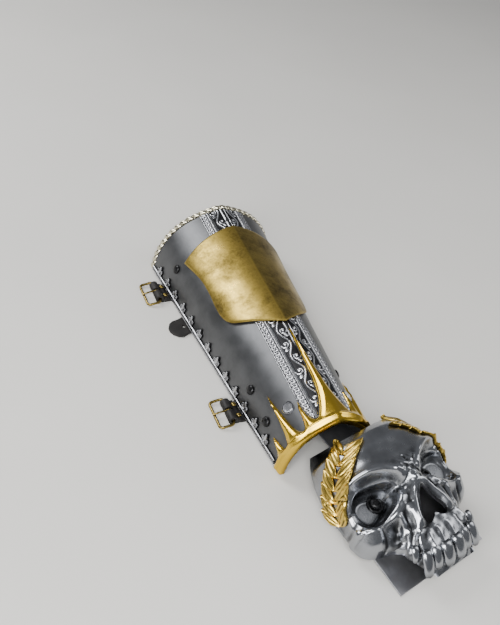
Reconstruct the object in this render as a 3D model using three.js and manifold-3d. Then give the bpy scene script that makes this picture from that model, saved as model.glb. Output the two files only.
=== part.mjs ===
// Forearm guard with a skull over the back of the hand, laid down on its open side.
// Shell frame: x across, y from the wrist end to the elbow end, z up from the long lower edges.
// Guard frame: x across, y from the fingers to the wrist, z up from the hand plate's top.
import * as THREE from "three";
import { mergeVertices } from "three/addons/utils/BufferGeometryUtils.js";
import Module from "manifold-3d";

const wasm = await Module();
wasm.setup();

// Clearances and stock thicknesses, in millimetres
const gap = 0.3;
const leather = 2;
const sheetSteel = 1.4;

// Forearm shell
const shellLength = 257;
const shellWall = 2.6;
const elbowHalfWidth = 60.7;
const elbowRise = 62.8;
const wristHalfWidth = 39.6;
const wristRise = 50.7;
const keelRise = 3.3;
const keelSpread = 0.5;
const shellTurns = 26;

// Relief on the shell
const reliefBase = 0.9;
const reliefStep = 8;
const taperStep = 66;
const bandInner = 14.6;
const bandWidth = 8;
const bandRail = 1.1;
const lozengePitch = 12;
const panelInner = 1.2;
const panelGap = 1;
const vinePitch = 29;
const vineStem = 1.3;
const borderDepth = 5.2;
const borderThickness = 1.5;
const borderStart = 5.5;
const fleurCount = 13;
const fleurHeight = 9;
const fleurHalfWidth = 4.6;
const fleurWristMargin = 24;
const fleurElbowMargin = 15;

// Shield plaque, roped rim and wrist trim
const plaqueHalfWidth = 55;
const plaqueLength = 127;
const plaqueStart = 101.5;
const plaqueThickness = 1.4;
const ropeRadius = 3.3;
const ropeStrandPitch = 6.6;
const spikeLength = 95;
const trimOverhang = 6;
const trimThickness = 3;
const trimRidge = 1.6;

// Rivets
const rivetHeadRadius = 4.3;
const rivetHeadHeight = 2.2;
const rivetShankRadius = 1.9;
const ringRivetRadius = 5.2;
const ringRivetHeight = 0.9;
const strapTurn = THREE.MathUtils.degToRad(64);
const wristRivetTurn = THREE.MathUtils.degToRad(68);
const wristRivetAlong = 33;
const ringRivetTurn = THREE.MathUtils.degToRad(40);
const ringRivetAlong = 27;

// Straps, tabs and buckles
const strapWidth = 22;
const elbowStrapMargin = 35;
const elbowStrapAlong = shellLength - elbowStrapMargin;
const wristStrapAlong = 65;
const strapTail = 8;
const strapHoleRadius = 1.9;
const strapHolePitch = 12;
const strapAboveRivet = 9;
const buckleReach = 9.6;
const buckleWidth = 31;
const buckleDepth = 15;
const buckleWire = 2.4;
const prongWidth = 2.4;
const tabRivetRadius = 2.2;
const tabRivetSpread = 6;

// Hand guard
const hingeAcross = 10.2;
const hingeAlong = 26.5;
const hingeHeight = 19.5;
const guardYaw = THREE.MathUtils.degToRad(15);
const plateLength = 146.8;
const plateHalfWidth = 46.2;
const plateTaper = 2.5;
const plateShoulder = 47.5;
const plateTongueRoot = 39.5;
const plateTongueHalfWidth = 14;
const slingWidth = 14;
const skullStart = 26;
const skullLength = 126;
const skullHalfWidth = 58;
const skullCrown = 46;
const skullWall = 3;
const skullBackRake = 10;
const socketAcross = 32.5;
const socketAlong = 86.5;
const socketHalfWidth = 17.5;
const socketHalfLength = 15.5;
const socketFloor = 16.8;
const boltAcross = 27;
const boltSetback = 0.1;
const boltAlong = socketAlong - boltSetback;
const boltHeadRadius = 4.4;
const boltShankRadius = 2.4;
const washerRadius = 6.5;
const washerThickness = 1.3;
const noseTop = 95;
const noseBottom = 121;
const noseHalfWidth = 12;
const leafPairs = 6;
const leafLength = 22;
const leafHalfWidth = 6.4;
const leafRise = 2.4;
const leafEdge = 1.1;
const leafBackShare = -0.02;

// Solids

const mix = THREE.MathUtils.lerp;

function solidFrom(geometry) {
  const bare = geometry.clone();
  bare.deleteAttribute("normal");
  bare.deleteAttribute("uv");
  const merged = mergeVertices(bare, 1e-4);
  const mesh = new wasm.Mesh({
    numProp: 3,
    vertProperties: merged.attributes.position.array,
    triVerts: new Uint32Array(merged.index.array),
  });
  return new wasm.Manifold(mesh);
}

function geometryFrom(solid) {
  const mesh = solid.getMesh();
  const geometry = new THREE.BufferGeometry();
  geometry.setAttribute("position", new THREE.BufferAttribute(mesh.vertProperties, 3));
  geometry.setIndex(new THREE.BufferAttribute(mesh.triVerts, 1));
  return geometry;
}

function fuse(geometries) {
  const solids = geometries.map(solidFrom);
  return geometryFrom(solids.reduce((whole, next) => whole.add(next)));
}

function cut(geometry, tools) {
  const solids = tools.map(solidFrom);
  return geometryFrom(solids.reduce((whole, next) => whole.subtract(next), solidFrom(geometry)));
}

function mirrored(geometry) {
  const copy = (geometry.index ? geometry.toNonIndexed() : geometry.clone()).scale(-1, 1, 1);
  const points = copy.attributes.position.array;
  for (let start = 0; start < points.length; start += 9) {
    const second = points.slice(start + 3, start + 6);
    points.copyWithin(start + 3, start + 6, start + 9);
    points.set(second, start + 6);
  }
  return copy;
}

// A flat outline of [x, y] points raised from one height to another.
function slab(outline, bottom, top, holes = []) {
  const shape = new THREE.Shape(outline.map(([x, y]) => new THREE.Vector2(x, y)));
  shape.holes = holes.map((hole) => new THREE.Path(hole.map(([x, y]) => new THREE.Vector2(x, y))));
  const geometry = new THREE.ExtrudeGeometry(shape, { depth: top - bottom, bevelEnabled: false });
  return geometry.translate(0, 0, bottom);
}

function box(low, high) {
  const size = high.map((value, axis) => value - low[axis]);
  const middle = high.map((value, axis) => (value + low[axis]) / 2);
  return new THREE.BoxGeometry(...size).translate(...middle);
}

function arc(centreX, centreY, radius, from, to, steps) {
  return Array.from({ length: steps + 1 }, (_, step) => {
    const angle = mix(from, to, step / steps);
    return [centreX + radius * Math.cos(angle), centreY + radius * Math.sin(angle)];
  });
}

function circle(centreX, centreY, radius, sides) {
  return arc(centreX, centreY, radius, 0, 2 * Math.PI, sides).slice(0, sides);
}

// A closed body from a grid of points: rows of the outer skin, with the ends and the foot closed.
function blockFrom(rows) {
  const across = rows[0].length;
  const points = rows.flat();
  const faces = [];
  const at = (row, column) => row * across + column;
  for (let row = 0; row < rows.length - 1; row += 1) {
    for (let column = 0; column < across; column += 1) {
      const next = (column + 1) % across;
      faces.push(at(row, column), at(row, next), at(row + 1, next));
      faces.push(at(row, column), at(row + 1, next), at(row + 1, column));
    }
  }
  const last = rows.length - 1;
  for (let column = 1; column < across - 1; column += 1) {
    faces.push(at(0, 0), at(0, column + 1), at(0, column));
    faces.push(at(last, 0), at(last, column), at(last, column + 1));
  }
  const geometry = new THREE.BufferGeometry().setFromPoints(points);
  geometry.setIndex(faces);
  return solidFrom(geometry).volume() < 0 ? turnedOut(geometry) : geometry;
}

function turnedOut(geometry) {
  const index = Array.from(geometry.index.array);
  for (let start = 0; start < index.length; start += 3) {
    [index[start + 1], index[start + 2]] = [index[start + 2], index[start + 1]];
  }
  geometry.setIndex(index);
  return geometry;
}

function turnedPiece(profile, sides) {
  return new THREE.LatheGeometry(profile.map(([r, y]) => new THREE.Vector2(r, y)), sides);
}

// The arch of the shell

function sectionAt(along) {
  const share = along / shellLength;
  return {
    halfWidth: mix(wristHalfWidth, elbowHalfWidth, share),
    rise: mix(wristRise, elbowRise, share),
  };
}

// A point on the arch, turned from the keel (left is negative) and moved out along the normal.
function archPoint(along, turn, out) {
  const { halfWidth, rise } = sectionAt(along);
  const sine = Math.sin(turn);
  const blend = Math.max(0, 1 - Math.abs(sine) / keelSpread);
  const side = turn < 0 ? -1 : 1;
  const slopeX = halfWidth * Math.cos(turn);
  const slopeZ = -rise * sine - (side * 2 * keelRise * blend * Math.cos(turn)) / keelSpread;
  const onKeel = Math.abs(turn) < 1e-6;
  const normal = onKeel ? [0, 1] : [-slopeZ, slopeX].map((part) => part / Math.hypot(slopeX, slopeZ));
  const x = halfWidth * sine + normal[0] * out;
  const z = rise * Math.cos(turn) + keelRise * blend * blend + normal[1] * out;
  return new THREE.Vector3(x, along, z);
}

const arcSteps = 90;

function arcLengths(along) {
  const lengths = [0];
  for (let step = 1; step <= arcSteps; step += 1) {
    const before = archPoint(along, ((step - 1) / arcSteps) * (Math.PI / 2), 0);
    const here = archPoint(along, (step / arcSteps) * (Math.PI / 2), 0);
    lengths.push(lengths[step - 1] + before.distanceTo(here));
  }
  return lengths;
}

function quarterArc(along) {
  return arcLengths(along)[arcSteps];
}

// A point at a distance over the surface from the keel.
function overArch(across, along, out) {
  const lengths = arcLengths(along);
  const wanted = Math.abs(across);
  let step = 1;
  while (step < arcSteps && lengths[step] < wanted) step += 1;
  const inStep = (wanted - lengths[step - 1]) / (lengths[step] - lengths[step - 1]);
  const turn = ((step - 1 + inStep) / arcSteps) * (Math.PI / 2);
  return archPoint(along, Math.sign(across) * turn, out);
}

// Divides a flat piece at even stations across and along, so that its faces can bend over the arch.
function bendReady(geometry, step) {
  const whole = solidFrom(geometry);
  const { min, max } = whole.boundingBox();
  const faces = [];
  const onCuts = [];
  const shared = (corner) => {
    const twin = onCuts.find((point) => point.distanceTo(corner) < 1e-3);
    if (!twin) onCuts.push(corner);
    return twin ?? corner;
  };
  const stations = (axis, size) => {
    const first = Math.floor(min[axis] / size + 1e-6);
    const last = Math.ceil(max[axis] / size - 1e-6);
    return Array.from({ length: last - first }, (_, i) => [(first + i) * size, (first + i + 1) * size]);
  };
  for (const [left, right] of stations(0, step)) {
    const strip = whole.trimByPlane([1, 0, 0], left).trimByPlane([-1, 0, 0], -right);
    for (const [near, far] of stations(1, taperStep)) {
      const part = strip.trimByPlane([0, 1, 0], near).trimByPlane([0, -1, 0], -far);
      if (part.isEmpty()) continue;
      const cuts = [
        { axis: "x", at: left, open: left > min[0] },
        { axis: "x", at: right, open: right < max[0] },
        { axis: "y", at: near, open: near > min[1] },
        { axis: "y", at: far, open: far < max[1] },
      ];
      const lies = (corner, { axis, at, open }) => open && Math.abs(corner[axis] - at) < 1e-4;
      const { vertProperties, triVerts } = part.getMesh();
      for (let i = 0; i < triVerts.length; i += 3) {
        const face = [0, 1, 2].map((k) => new THREE.Vector3().fromArray(vertProperties, 3 * triVerts[i + k]));
        if (cuts.some((plane) => face.every((corner) => lies(corner, plane)))) continue;
        const onCut = (corner) => cuts.some((plane) => lies(corner, plane));
        faces.push(face.map((corner) => (onCut(corner) ? shared(corner) : corner)));
      }
    }
  }
  const sound = faces.filter(([a, b, c]) => a !== b && b !== c && c !== a);
  return new THREE.BufferGeometry().setFromPoints(sound.flatMap((face) => splitOnCut(face, onCuts)).flat());
}

// Splits a face where a corner of the next strip lies on its edge.
function splitOnCut(face, onCuts) {
  for (let k = 0; k < 3; k += 1) {
    const [a, b, c] = [0, 1, 2].map((step) => face[(k + step) % 3]);
    if (!onCuts.includes(a) || !onCuts.includes(b)) continue;
    const edge = new THREE.Line3(a, b);
    const within = (point) =>
      point !== a &&
      point !== b &&
      edge.closestPointToPoint(point, true, new THREE.Vector3()).distanceTo(point) < 1e-3 &&
      Math.min(point.distanceTo(a), point.distanceTo(b)) > 1e-3;
    const found = onCuts.find(within);
    if (found) return [...splitOnCut([a, found, c], onCuts), ...splitOnCut([found, b, c], onCuts)];
  }
  return [face];
}

function bent(geometry, place, step = reliefStep) {
  const ready = bendReady(geometry, step);
  const position = ready.attributes.position;
  for (let i = 0; i < position.count; i += 1) {
    const point = place(position.getX(i), position.getY(i), position.getZ(i));
    position.setXYZ(i, point.x, point.y, point.z);
  }
  return ready;
}

// Moves each side of a closed outline outwards by a clearance.
function grown(outline, clearance) {
  const count = outline.length;
  const area = outline.reduce((sum, [x, y], i) => {
    const [nextX, nextY] = outline[(i + 1) % count];
    return sum + x * nextY - nextX * y;
  }, 0);
  const side = Math.sign(area);
  return outline.map(([x, y], i) => {
    const [px, py] = outline[(i + count - 1) % count];
    const [nx, ny] = outline[(i + 1) % count];
    const before = new THREE.Vector2(y - py, px - x).normalize();
    const after = new THREE.Vector2(ny - y, x - nx).normalize();
    const middle = before.clone().add(after);
    const reach = Math.min(3, 2 / Math.max(0.1, middle.lengthSq()));
    middle.multiplyScalar(clearance * side * reach);
    return [x + middle.x, y + middle.y];
  });
}

// Forearm shell

function placeOnArch(geometry, along, turn, out = 0) {
  const foot = archPoint(along, turn, out);
  const forward = archPoint(along + 1, turn, out).sub(foot);
  const around = archPoint(along, turn + 0.01, out).sub(archPoint(along, turn - 0.01, out));
  const normal = forward.cross(around).negate().normalize();
  const turnToNormal = new THREE.Quaternion().setFromUnitVectors(new THREE.Vector3(0, 1, 0), normal);
  return geometry.applyQuaternion(turnToNormal).translate(foot.x, foot.y, foot.z);
}

function holeOnArch(along, turn, radius) {
  const depth = 30;
  return placeOnArch(new THREE.CylinderGeometry(radius, radius, depth, 8), along, turn);
}

const rivetPlaces = [
  { name: "elbow", along: elbowStrapAlong, turn: strapTurn, under: gap + leather + gap },
  { name: "middle", along: wristStrapAlong, turn: strapTurn, under: gap + leather + gap },
  { name: "wrist", along: wristRivetAlong, turn: wristRivetTurn, under: 0 },
];

function forearmShell() {
  const rows = [0, shellLength].map((along) => {
    const shares = Array.from({ length: shellTurns + 1 }, (_, i) => mix(-1, 1, i / shellTurns));
    const turns = shares.map((share) => share * (Math.PI / 2));
    const outer = turns.map((turn) => archPoint(along, turn, 0));
    const inner = turns.map((turn) => archPoint(along, turn, -shellWall));
    return [outer, inner];
  });
  const faces = [];
  const points = rows.flat(2);
  const many = shellTurns + 1;
  const at = (row, skin, i) => (row * 2 + skin) * many + i;
  const quad = (a, b, c, d) => faces.push(a, b, c, a, c, d);
  for (let i = 0; i < shellTurns; i += 1) {
    quad(at(0, 0, i), at(0, 0, i + 1), at(1, 0, i + 1), at(1, 0, i));
    quad(at(0, 1, i + 1), at(0, 1, i), at(1, 1, i), at(1, 1, i + 1));
    quad(at(0, 1, i), at(0, 1, i + 1), at(0, 0, i + 1), at(0, 0, i));
    quad(at(1, 0, i), at(1, 0, i + 1), at(1, 1, i + 1), at(1, 1, i));
  }
  quad(at(0, 1, 0), at(0, 0, 0), at(1, 0, 0), at(1, 1, 0));
  quad(at(0, 0, shellTurns), at(0, 1, shellTurns), at(1, 1, shellTurns), at(1, 0, shellTurns));
  const arch = new THREE.BufferGeometry().setFromPoints(points);
  arch.setIndex(faces);
  const body = solidFrom(arch).volume() < 0 ? turnedOut(arch) : arch;
  const holes = [];
  for (const side of [-1, 1]) {
    for (const { along, turn } of rivetPlaces) {
      holes.push(holeOnArch(along, side * turn, rivetShankRadius + gap));
    }
    holes.push(holeOnArch(ringRivetAlong, side * ringRivetTurn, rivetShankRadius + gap));
  }
  return cut(body, holes);
}

function shellRivet(along, turn, under) {
  const shank = shellWall + under;
  const profile = [
    [0, -shank],
    [rivetShankRadius, -shank],
    [rivetShankRadius, gap],
    [rivetHeadRadius, gap],
    [rivetHeadRadius * 0.85, rivetHeadHeight * 0.62],
    [0, rivetHeadHeight],
  ];
  return placeOnArch(turnedPiece(profile, 8), along, turn);
}

function ringRivet(along, turn) {
  const profile = [
    [0, -shellWall],
    [rivetShankRadius, -shellWall],
    [rivetShankRadius, gap],
    [ringRivetRadius, gap],
    [ringRivetRadius, gap + ringRivetHeight],
    [ringRivetRadius * 0.72, gap + ringRivetHeight],
    [ringRivetRadius * 0.66, gap + ringRivetHeight * 0.5],
    [0, gap + ringRivetHeight * 0.5],
  ];
  return placeOnArch(turnedPiece(profile, 12), along, turn);
}

// A twisted bar along the elbow edge: a four-lobed section that turns as it goes round.
function ropedRim() {
  const lobes = 3;
  const sides = lobes * 2;
  const length = 2 * quarterArc(shellLength);
  const ringsPerStrand = 2;
  const rings = Math.round((length / ropeStrandPitch) * ringsPerStrand);
  const centreAlong = shellLength + gap + ropeRadius;
  const rows = [];
  for (let ring = 0; ring <= rings; ring += 1) {
    const turn = mix(-1, 1, ring / rings) * (Math.PI / 2);
    const middle = archPoint(shellLength, turn, -shellWall / 2);
    const outward = archPoint(shellLength, turn, 1).sub(archPoint(shellLength, turn, 0));
    const twist = (ring / ringsPerStrand) * ((2 * Math.PI) / lobes);
    const row = [];
    for (let side = 0; side < sides; side += 1) {
      const angle = (side / sides) * 2 * Math.PI + twist;
      const radius = ropeRadius * (side % 2 ? 0.76 : 1);
      const point = middle.clone().addScaledVector(outward, radius * Math.cos(angle));
      point.y = centreAlong + radius * Math.sin(angle);
      row.push(point);
    }
    rows.push(row);
  }
  return blockFrom(rows);
}

// Trim, plaque and relief

// The trim's half outline, from the keel spike's tip to the lower edge and back along the mouth.
// Across is a share of the wrist's quarter arc, along a share of the spike's length.
const trimRows = [
  { part: "keel spike tip", across: 0, along: 1 },
  { part: "keel spike", across: 0.046, along: 0.47 },
  { part: "keel spike", across: 0.079, along: 0.28 },
  { part: "keel spike foot", across: 0.129, along: 0.15 },
  { part: "first gap", across: 0.189, along: 0.064 },
  { part: "first gap", across: 0.229, along: 0.055 },
  { part: "hook", across: 0.276, along: 0.1 },
  { part: "hook", across: 0.302, along: 0.18 },
  { part: "hook tip", across: 0.314, along: 0.29 },
  { part: "hook", across: 0.345, along: 0.21 },
  { part: "hook", across: 0.352, along: 0.13 },
  { part: "second gap", across: 0.372, along: 0.05 },
  { part: "second gap", across: 0.402, along: 0.022 },
  { part: "long thorn", across: 0.472, along: 0.07 },
  { part: "long thorn", across: 0.53, along: 0.24 },
  { part: "long thorn tip", across: 0.6, along: 0.51 },
  { part: "long thorn", across: 0.616, along: 0.15 },
  { part: "third gap", across: 0.645, along: 0.03 },
  { part: "third gap", across: 0.68, along: 0.02 },
  { part: "short thorn", across: 0.722, along: 0.04 },
  { part: "short thorn tip", across: 0.785, along: 0.19 },
  { part: "short thorn", across: 0.815, along: 0.09 },
  { part: "lower rim", across: 0.86, along: 0.03 },
  { part: "lower rim", across: 1, along: 0.045 },
];

const wristQuarter = quarterArc(0) - 1;
const trimSide = trimRows.map(({ across, along }) => [across * wristQuarter, along * spikeLength]);
const trimOutline = [
  ...trimSide,
  [wristQuarter, -trimOverhang],
  [-wristQuarter, -trimOverhang],
  ...trimSide.slice(1).reverse().map(([x, y]) => [-x, y]),
];

// Sections of the trim across the wrist: a lip over the shell's end, a ridge and the thorns.
function wristTrim() {
  const columns = [...trimSide.slice(1).reverse().map(([x, y]) => [-x, y]), ...trimSide];
  const rows = columns.map(([across, top]) => {
    const section = [
      [-gap, gap],
      [-gap, -shellWall],
      [-trimOverhang, -shellWall],
      [-trimOverhang, trimThickness],
      [-trimOverhang * 0.45, trimThickness + trimRidge],
      [trimRidge - gap, trimThickness],
      [top, trimThickness],
      [top, gap],
    ];
    return section.map(([along, out]) => overArch(across, along, out));
  });
  return blockFrom(rows);
}

// The plaque's half outline, top centre to bottom point.
const plaqueRows = [
  { part: "top", across: 0, along: 1 },
  { part: "top", across: 0.34, along: 0.985 },
  { part: "top", across: 0.62, along: 0.957 },
  { part: "ear", across: 1, along: 0.905 },
  { part: "side", across: 0.93, along: 0.79 },
  { part: "side", across: 0.865, along: 0.66 },
  { part: "side", across: 0.845, along: 0.52 },
  { part: "side", across: 0.855, along: 0.38 },
  { part: "corner", across: 0.83, along: 0.28 },
  { part: "corner", across: 0.75, along: 0.205 },
  { part: "corner", across: 0.63, along: 0.16 },
  { part: "bottom", across: 0.36, along: 0.09 },
  { part: "bottom point", across: 0, along: 0 },
];

const plaqueOut = reliefBase + 2 * gap;

function shieldPlaque() {
  const side = plaqueRows.map(({ across, along }) => [
    across * plaqueHalfWidth,
    plaqueStart + along * plaqueLength,
  ]);
  const inner = side.slice(1, -1).reverse().map(([x, y]) => [-x, y]);
  return bent(slab([...side, ...inner], plaqueOut, plaqueOut + plaqueThickness), overArch);
}

const reliefEnd = shellLength - gap;
const trimClearance = slab(grown(trimOutline, 2 * gap), -1, trimThickness * 2);
const shownStretches = [
  [spikeLength * 0.12, plaqueStart + plaqueLength * 0.04],
  [plaqueStart + plaqueLength * 1.01, reliefEnd - 2],
];

function knotBand() {
  const outer = bandInner + bandWidth;
  const strip = box([bandInner, 0, gap], [outer, reliefEnd, gap + reliefBase * 0.5]);
  const pieces = [strip];
  for (const low of [bandInner, outer - bandRail]) {
    pieces.push(box([low, 0, gap], [low + bandRail, reliefEnd, gap + reliefBase]));
  }
  const middle = bandInner + bandWidth / 2;
  const reach = bandWidth / 2 - bandRail * 0.8;
  for (const [from, to] of shownStretches) {
    const many = Math.floor((to - from) / lozengePitch);
    for (let i = 0; i < many; i += 1) {
      const centre = from + (i + 0.75) * ((to - from) / (many + 0.5));
      const corners = [
        [middle, centre - lozengePitch * 0.46],
        [middle + reach, centre],
        [middle, centre + lozengePitch * 0.46],
        [middle - reach, centre],
      ];
      pieces.push(slab(corners, gap, gap + reliefBase));
    }
  }
  return bent(cut(fuse(pieces), [trimClearance]), overArch);
}

function leafOutline(x, y, heading, length, halfWidth) {
  const along = [Math.cos(heading), Math.sin(heading)];
  const local = [
    [0, 0],
    [0.5, 1],
    [1, 0],
    [0.5, -1],
  ];
  return local.map(([share, side]) => [
    x + along[0] * share * length - along[1] * side * halfWidth,
    y + along[1] * share * length + along[0] * side * halfWidth,
  ]);
}

function vinePanel() {
  const outer = bandInner - panelGap;
  const middle = (panelInner + outer) / 2;
  const swing = (outer - panelInner) / 2 - vineStem * 1.8;
  const pieces = [box([panelInner, 0, gap], [outer, reliefEnd, gap + reliefBase * 0.45])];
  for (const [from, to] of shownStretches) {
    const steps = Math.ceil((to - from) / (vinePitch / 4));
    const wave = (y) => middle + swing * Math.sin(((y - from) / vinePitch) * 2 * Math.PI);
    const rows = Array.from({ length: steps + 1 }, (_, i) => mix(from, to, i / steps));
    const left = rows.map((y) => [wave(y) - vineStem / 2, y]);
    const right = rows.map((y) => [wave(y) + vineStem / 2, y]);
    pieces.push(slab([...right, ...left.reverse()], gap, gap + reliefBase));
    const leaves = Math.floor((to - from) / (vinePitch / 2));
    for (let i = 0; i < leaves; i += 1) {
      const y = from + (i + 0.25) * (vinePitch / 2);
      const heading = Math.PI / 2 + (i % 2 ? -0.75 : 0.75);
      const outline = leafOutline(wave(y), y, heading, vinePitch * 0.32, vineStem * 1.2);
      pieces.push(slab(outline, gap, gap + reliefBase));
    }
  }
  return bent(cut(fuse(pieces), [trimClearance]), overArch);
}

// Fleurs stand on the strip; depth is measured up from the shell's lower edge.
const fleurRows = [
  { depth: 0, half: 0.85 },
  { depth: 0.42, half: 0.62 },
  { depth: 1, half: 0 },
];

function edgeBorder() {
  const borderEnd = shellLength - gap;
  const pieces = [box([gap, borderStart, gap], [borderDepth, borderEnd, gap + borderThickness])];
  const pitch = (shellLength - fleurWristMargin - fleurElbowMargin) / (fleurCount - 1);
  for (let i = 0; i < fleurCount; i += 1) {
    const centre = fleurWristMargin + i * pitch;
    const rise = fleurRows.map(({ depth, half }) => [
      borderDepth - 0.5 + depth * fleurHeight,
      centre + half * fleurHalfWidth,
    ]);
    const fall = fleurRows.slice(0, -1).reverse().map(({ depth, half }) => [
      borderDepth - 0.5 + depth * fleurHeight,
      centre - half * fleurHalfWidth,
    ]);
    pieces.push(slab([...rise, ...fall], gap, gap + borderThickness * 0.8));
  }
  const fromEdge = (across, along, out) => overArch(quarterArc(along) + across, along, out);
  return bent(mirrored(fuse(pieces)), fromEdge);
}

// Straps and buckles

// How far each tail slants towards the wrist, in strap widths, and how far it lies out, as a share.
const strapRows = [
  { place: "elbow", along: elbowStrapAlong, skew: 2.27, tail: 1 },
  { place: "wrist", along: wristStrapAlong, skew: 0.64, tail: -2 },
];

// Shell edges stand one strap above the ground.
const edgeLift = leather + 2 * gap;
const ground = -edgeLift;
const insideFace = shellWall + gap;

function leatherOnWall(along) {
  const lowest = quarterArc(along) + leather * 0.6;
  const highest = quarterArc(along) * (strapTurn / (Math.PI / 2)) - strapAboveRivet;
  const half = strapWidth / 2;
  const strip = box([highest, along - half, -insideFace - leather], [lowest, along + half, -insideFace]);
  const place = (across, station, out) => {
    const over = across - quarterArc(station);
    const point = overArch(Math.min(across, quarterArc(station)), station, out);
    point.z -= Math.max(0, over);
    return point;
  };
  return bent(strip, place, 5.5);
}

function innerEdge(along) {
  return sectionAt(along).halfWidth - insideFace - leather * 0.2;
}

function longStrap({ along, skew, tail }) {
  const half = strapWidth / 2;
  const tailAlong = along - skew * strapWidth;
  const tailAcross = sectionAt(tailAlong).halfWidth + tail * strapTail;
  const tip = arc(-tailAcross, tailAlong, half, Math.PI / 2, 1.5 * Math.PI, 7);
  const floorPlan = [
    [innerEdge(along - half), along - half],
    [innerEdge(along + half), along + half],
    ...tip,
  ];
  const holes = [0, 1, 2].map((i) => {
    const shift = strapHolePitch * (i + 0.3);
    return circle(-tailAcross + shift, tailAlong + shift * 0.3, strapHoleRadius, 6);
  });
  const run = slab(floorPlan, ground, ground + leather, holes);
  return cut(fuse([run, leatherOnWall(along)]), [holeOnArch(along, strapTurn, rivetShankRadius + gap)]);
}

function buckleCentre(along) {
  return sectionAt(along).halfWidth + borderThickness + buckleReach;
}

const eyeInner = buckleWire / 2 + 3 * gap;
const eyeOuter = eyeInner + leather;
const eyeHeight = ground + eyeOuter;

function alongY(geometry, centre, width) {
  const stand = new THREE.Matrix4().makeRotationX(Math.PI / 2);
  return geometry.applyMatrix4(stand).translate(0, centre + width / 2, 0);
}

function buckleTab(along) {
  const half = strapWidth / 2;
  const bar = buckleCentre(along);
  const floorPlan = [
    [-innerEdge(along + half), along + half],
    [-innerEdge(along - half), along - half],
    [-bar, along - half],
    [-bar, along + half],
  ];
  const run = slab(floorPlan, ground, ground + leather);
  const ring = slab(circle(-bar, eyeHeight, eyeOuter, 12), 0, strapWidth, [
    circle(-bar, eyeHeight, eyeInner, 8),
  ]);
  const eye = alongY(ring, along, strapWidth);
  const flapEnd = bar - buckleReach + borderThickness + 3 * gap;
  const flap = box(
    [-bar, along - half, ground + leather - 0.2],
    [-flapEnd, along + half, ground + 2 * leather],
  );
  const body = cut(fuse([run, flap]), [
    alongY(slab(circle(-bar, eyeHeight, eyeOuter - 0.5, 12), 0, strapWidth * 1.1), along, strapWidth * 1.1),
  ]);
  const slot = box(
    [-bar - eyeOuter * 1.2, along - prongWidth / 2 - gap, ground - 1],
    [-bar + eyeOuter * 0.9, along + prongWidth / 2 + gap, eyeHeight + eyeOuter * 1.2],
  );
  const whole = fuse([body, eye, mirrored(leatherOnWall(along))]);
  return cut(whole, [slot, holeOnArch(along, -strapTurn, rivetShankRadius + gap)]);
}

// The frame lies with its heel bar in the tab's eye and its front bar down on the ground.
function onBar(geometry, along) {
  const half = buckleWire / 2;
  const reach = buckleDepth - half;
  const drop = Math.asin(eyeOuter / Math.hypot(reach, half)) - Math.atan2(half, reach);
  const bar = buckleCentre(along);
  return geometry.rotateY(-drop).translate(-bar, along, eyeHeight);
}

function roundedRectangle(left, right, halfHeight, radius) {
  const steps = 4;
  return [
    ...arc(right - radius, halfHeight - radius, radius, 0, Math.PI / 2, steps),
    ...arc(left + radius, halfHeight - radius, radius, Math.PI / 2, Math.PI, steps),
    ...arc(left + radius, radius - halfHeight, radius, Math.PI, 1.5 * Math.PI, steps),
    ...arc(right - radius, radius - halfHeight, radius, 1.5 * Math.PI, 2 * Math.PI, steps),
  ];
}

function buckleFrame(along) {
  const half = buckleWire / 2;
  const outer = roundedRectangle(half - buckleDepth, half, buckleWidth / 2, 4);
  const inner = roundedRectangle(half - buckleDepth + buckleWire, -half, buckleWidth / 2 - buckleWire, 2);
  return onBar(slab(outer, -half, half, [inner]), along);
}

function prong(along) {
  const inner = buckleWire * 0.5 * Math.SQRT2 + gap;
  const outer = inner + 1.1;
  const ring = alongY(slab(circle(0, 0, outer, 12), 0, prongWidth, [circle(0, 0, inner, 8)]), 0, prongWidth);
  const low = buckleWire / 2 + gap;
  const tip = -buckleDepth + buckleWire * 0.3;
  const arm = box([tip, -prongWidth / 2, low], [-inner * 0.6, prongWidth / 2, outer]);
  return onBar(fuse([ring, arm]), along);
}

function tabRivet(along, side) {
  const top = ground + 2 * leather;
  const across = -(buckleCentre(along) - eyeOuter - tabRivetRadius - gap);
  const profile = [
    [0, gap],
    [tabRivetRadius, gap],
    [tabRivetRadius * 0.9, tabRivetRadius * 0.45],
    [tabRivetRadius * 0.55, tabRivetRadius * 0.75],
    [0, tabRivetRadius * 0.85],
  ];
  const dome = turnedPiece(profile, 10).rotateX(Math.PI / 2);
  return dome.translate(across, along + side * tabRivetSpread, top);
}

// Hand guard

const slope =
  Math.asin((hingeHeight + edgeLift) / Math.hypot(plateLength, sheetSteel)) -
  Math.atan2(sheetSteel, plateLength);

const guardMatrix = new THREE.Matrix4()
  .makeTranslation(hingeAcross, hingeAlong, hingeHeight)
  .multiply(new THREE.Matrix4().makeRotationZ(guardYaw))
  .multiply(new THREE.Matrix4().makeRotationX(slope));

function handPlate() {
  const atShoulder = plateHalfWidth - plateTaper;
  const side = [
    [plateHalfWidth, -plateLength],
    [atShoulder, -plateShoulder],
    [plateTongueHalfWidth, -plateTongueRoot],
    [plateTongueHalfWidth, slingWidth / 2 + 1],
  ];
  const outline = [...side, ...side.slice().reverse().map(([x, y]) => [-x, y])];
  const holes = [-1, 1].map((sign) => circle(sign * boltAcross, -boltAlong, boltShankRadius + gap, 10));
  return slab(outline, -sheetSteel, 0, holes);
}

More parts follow.
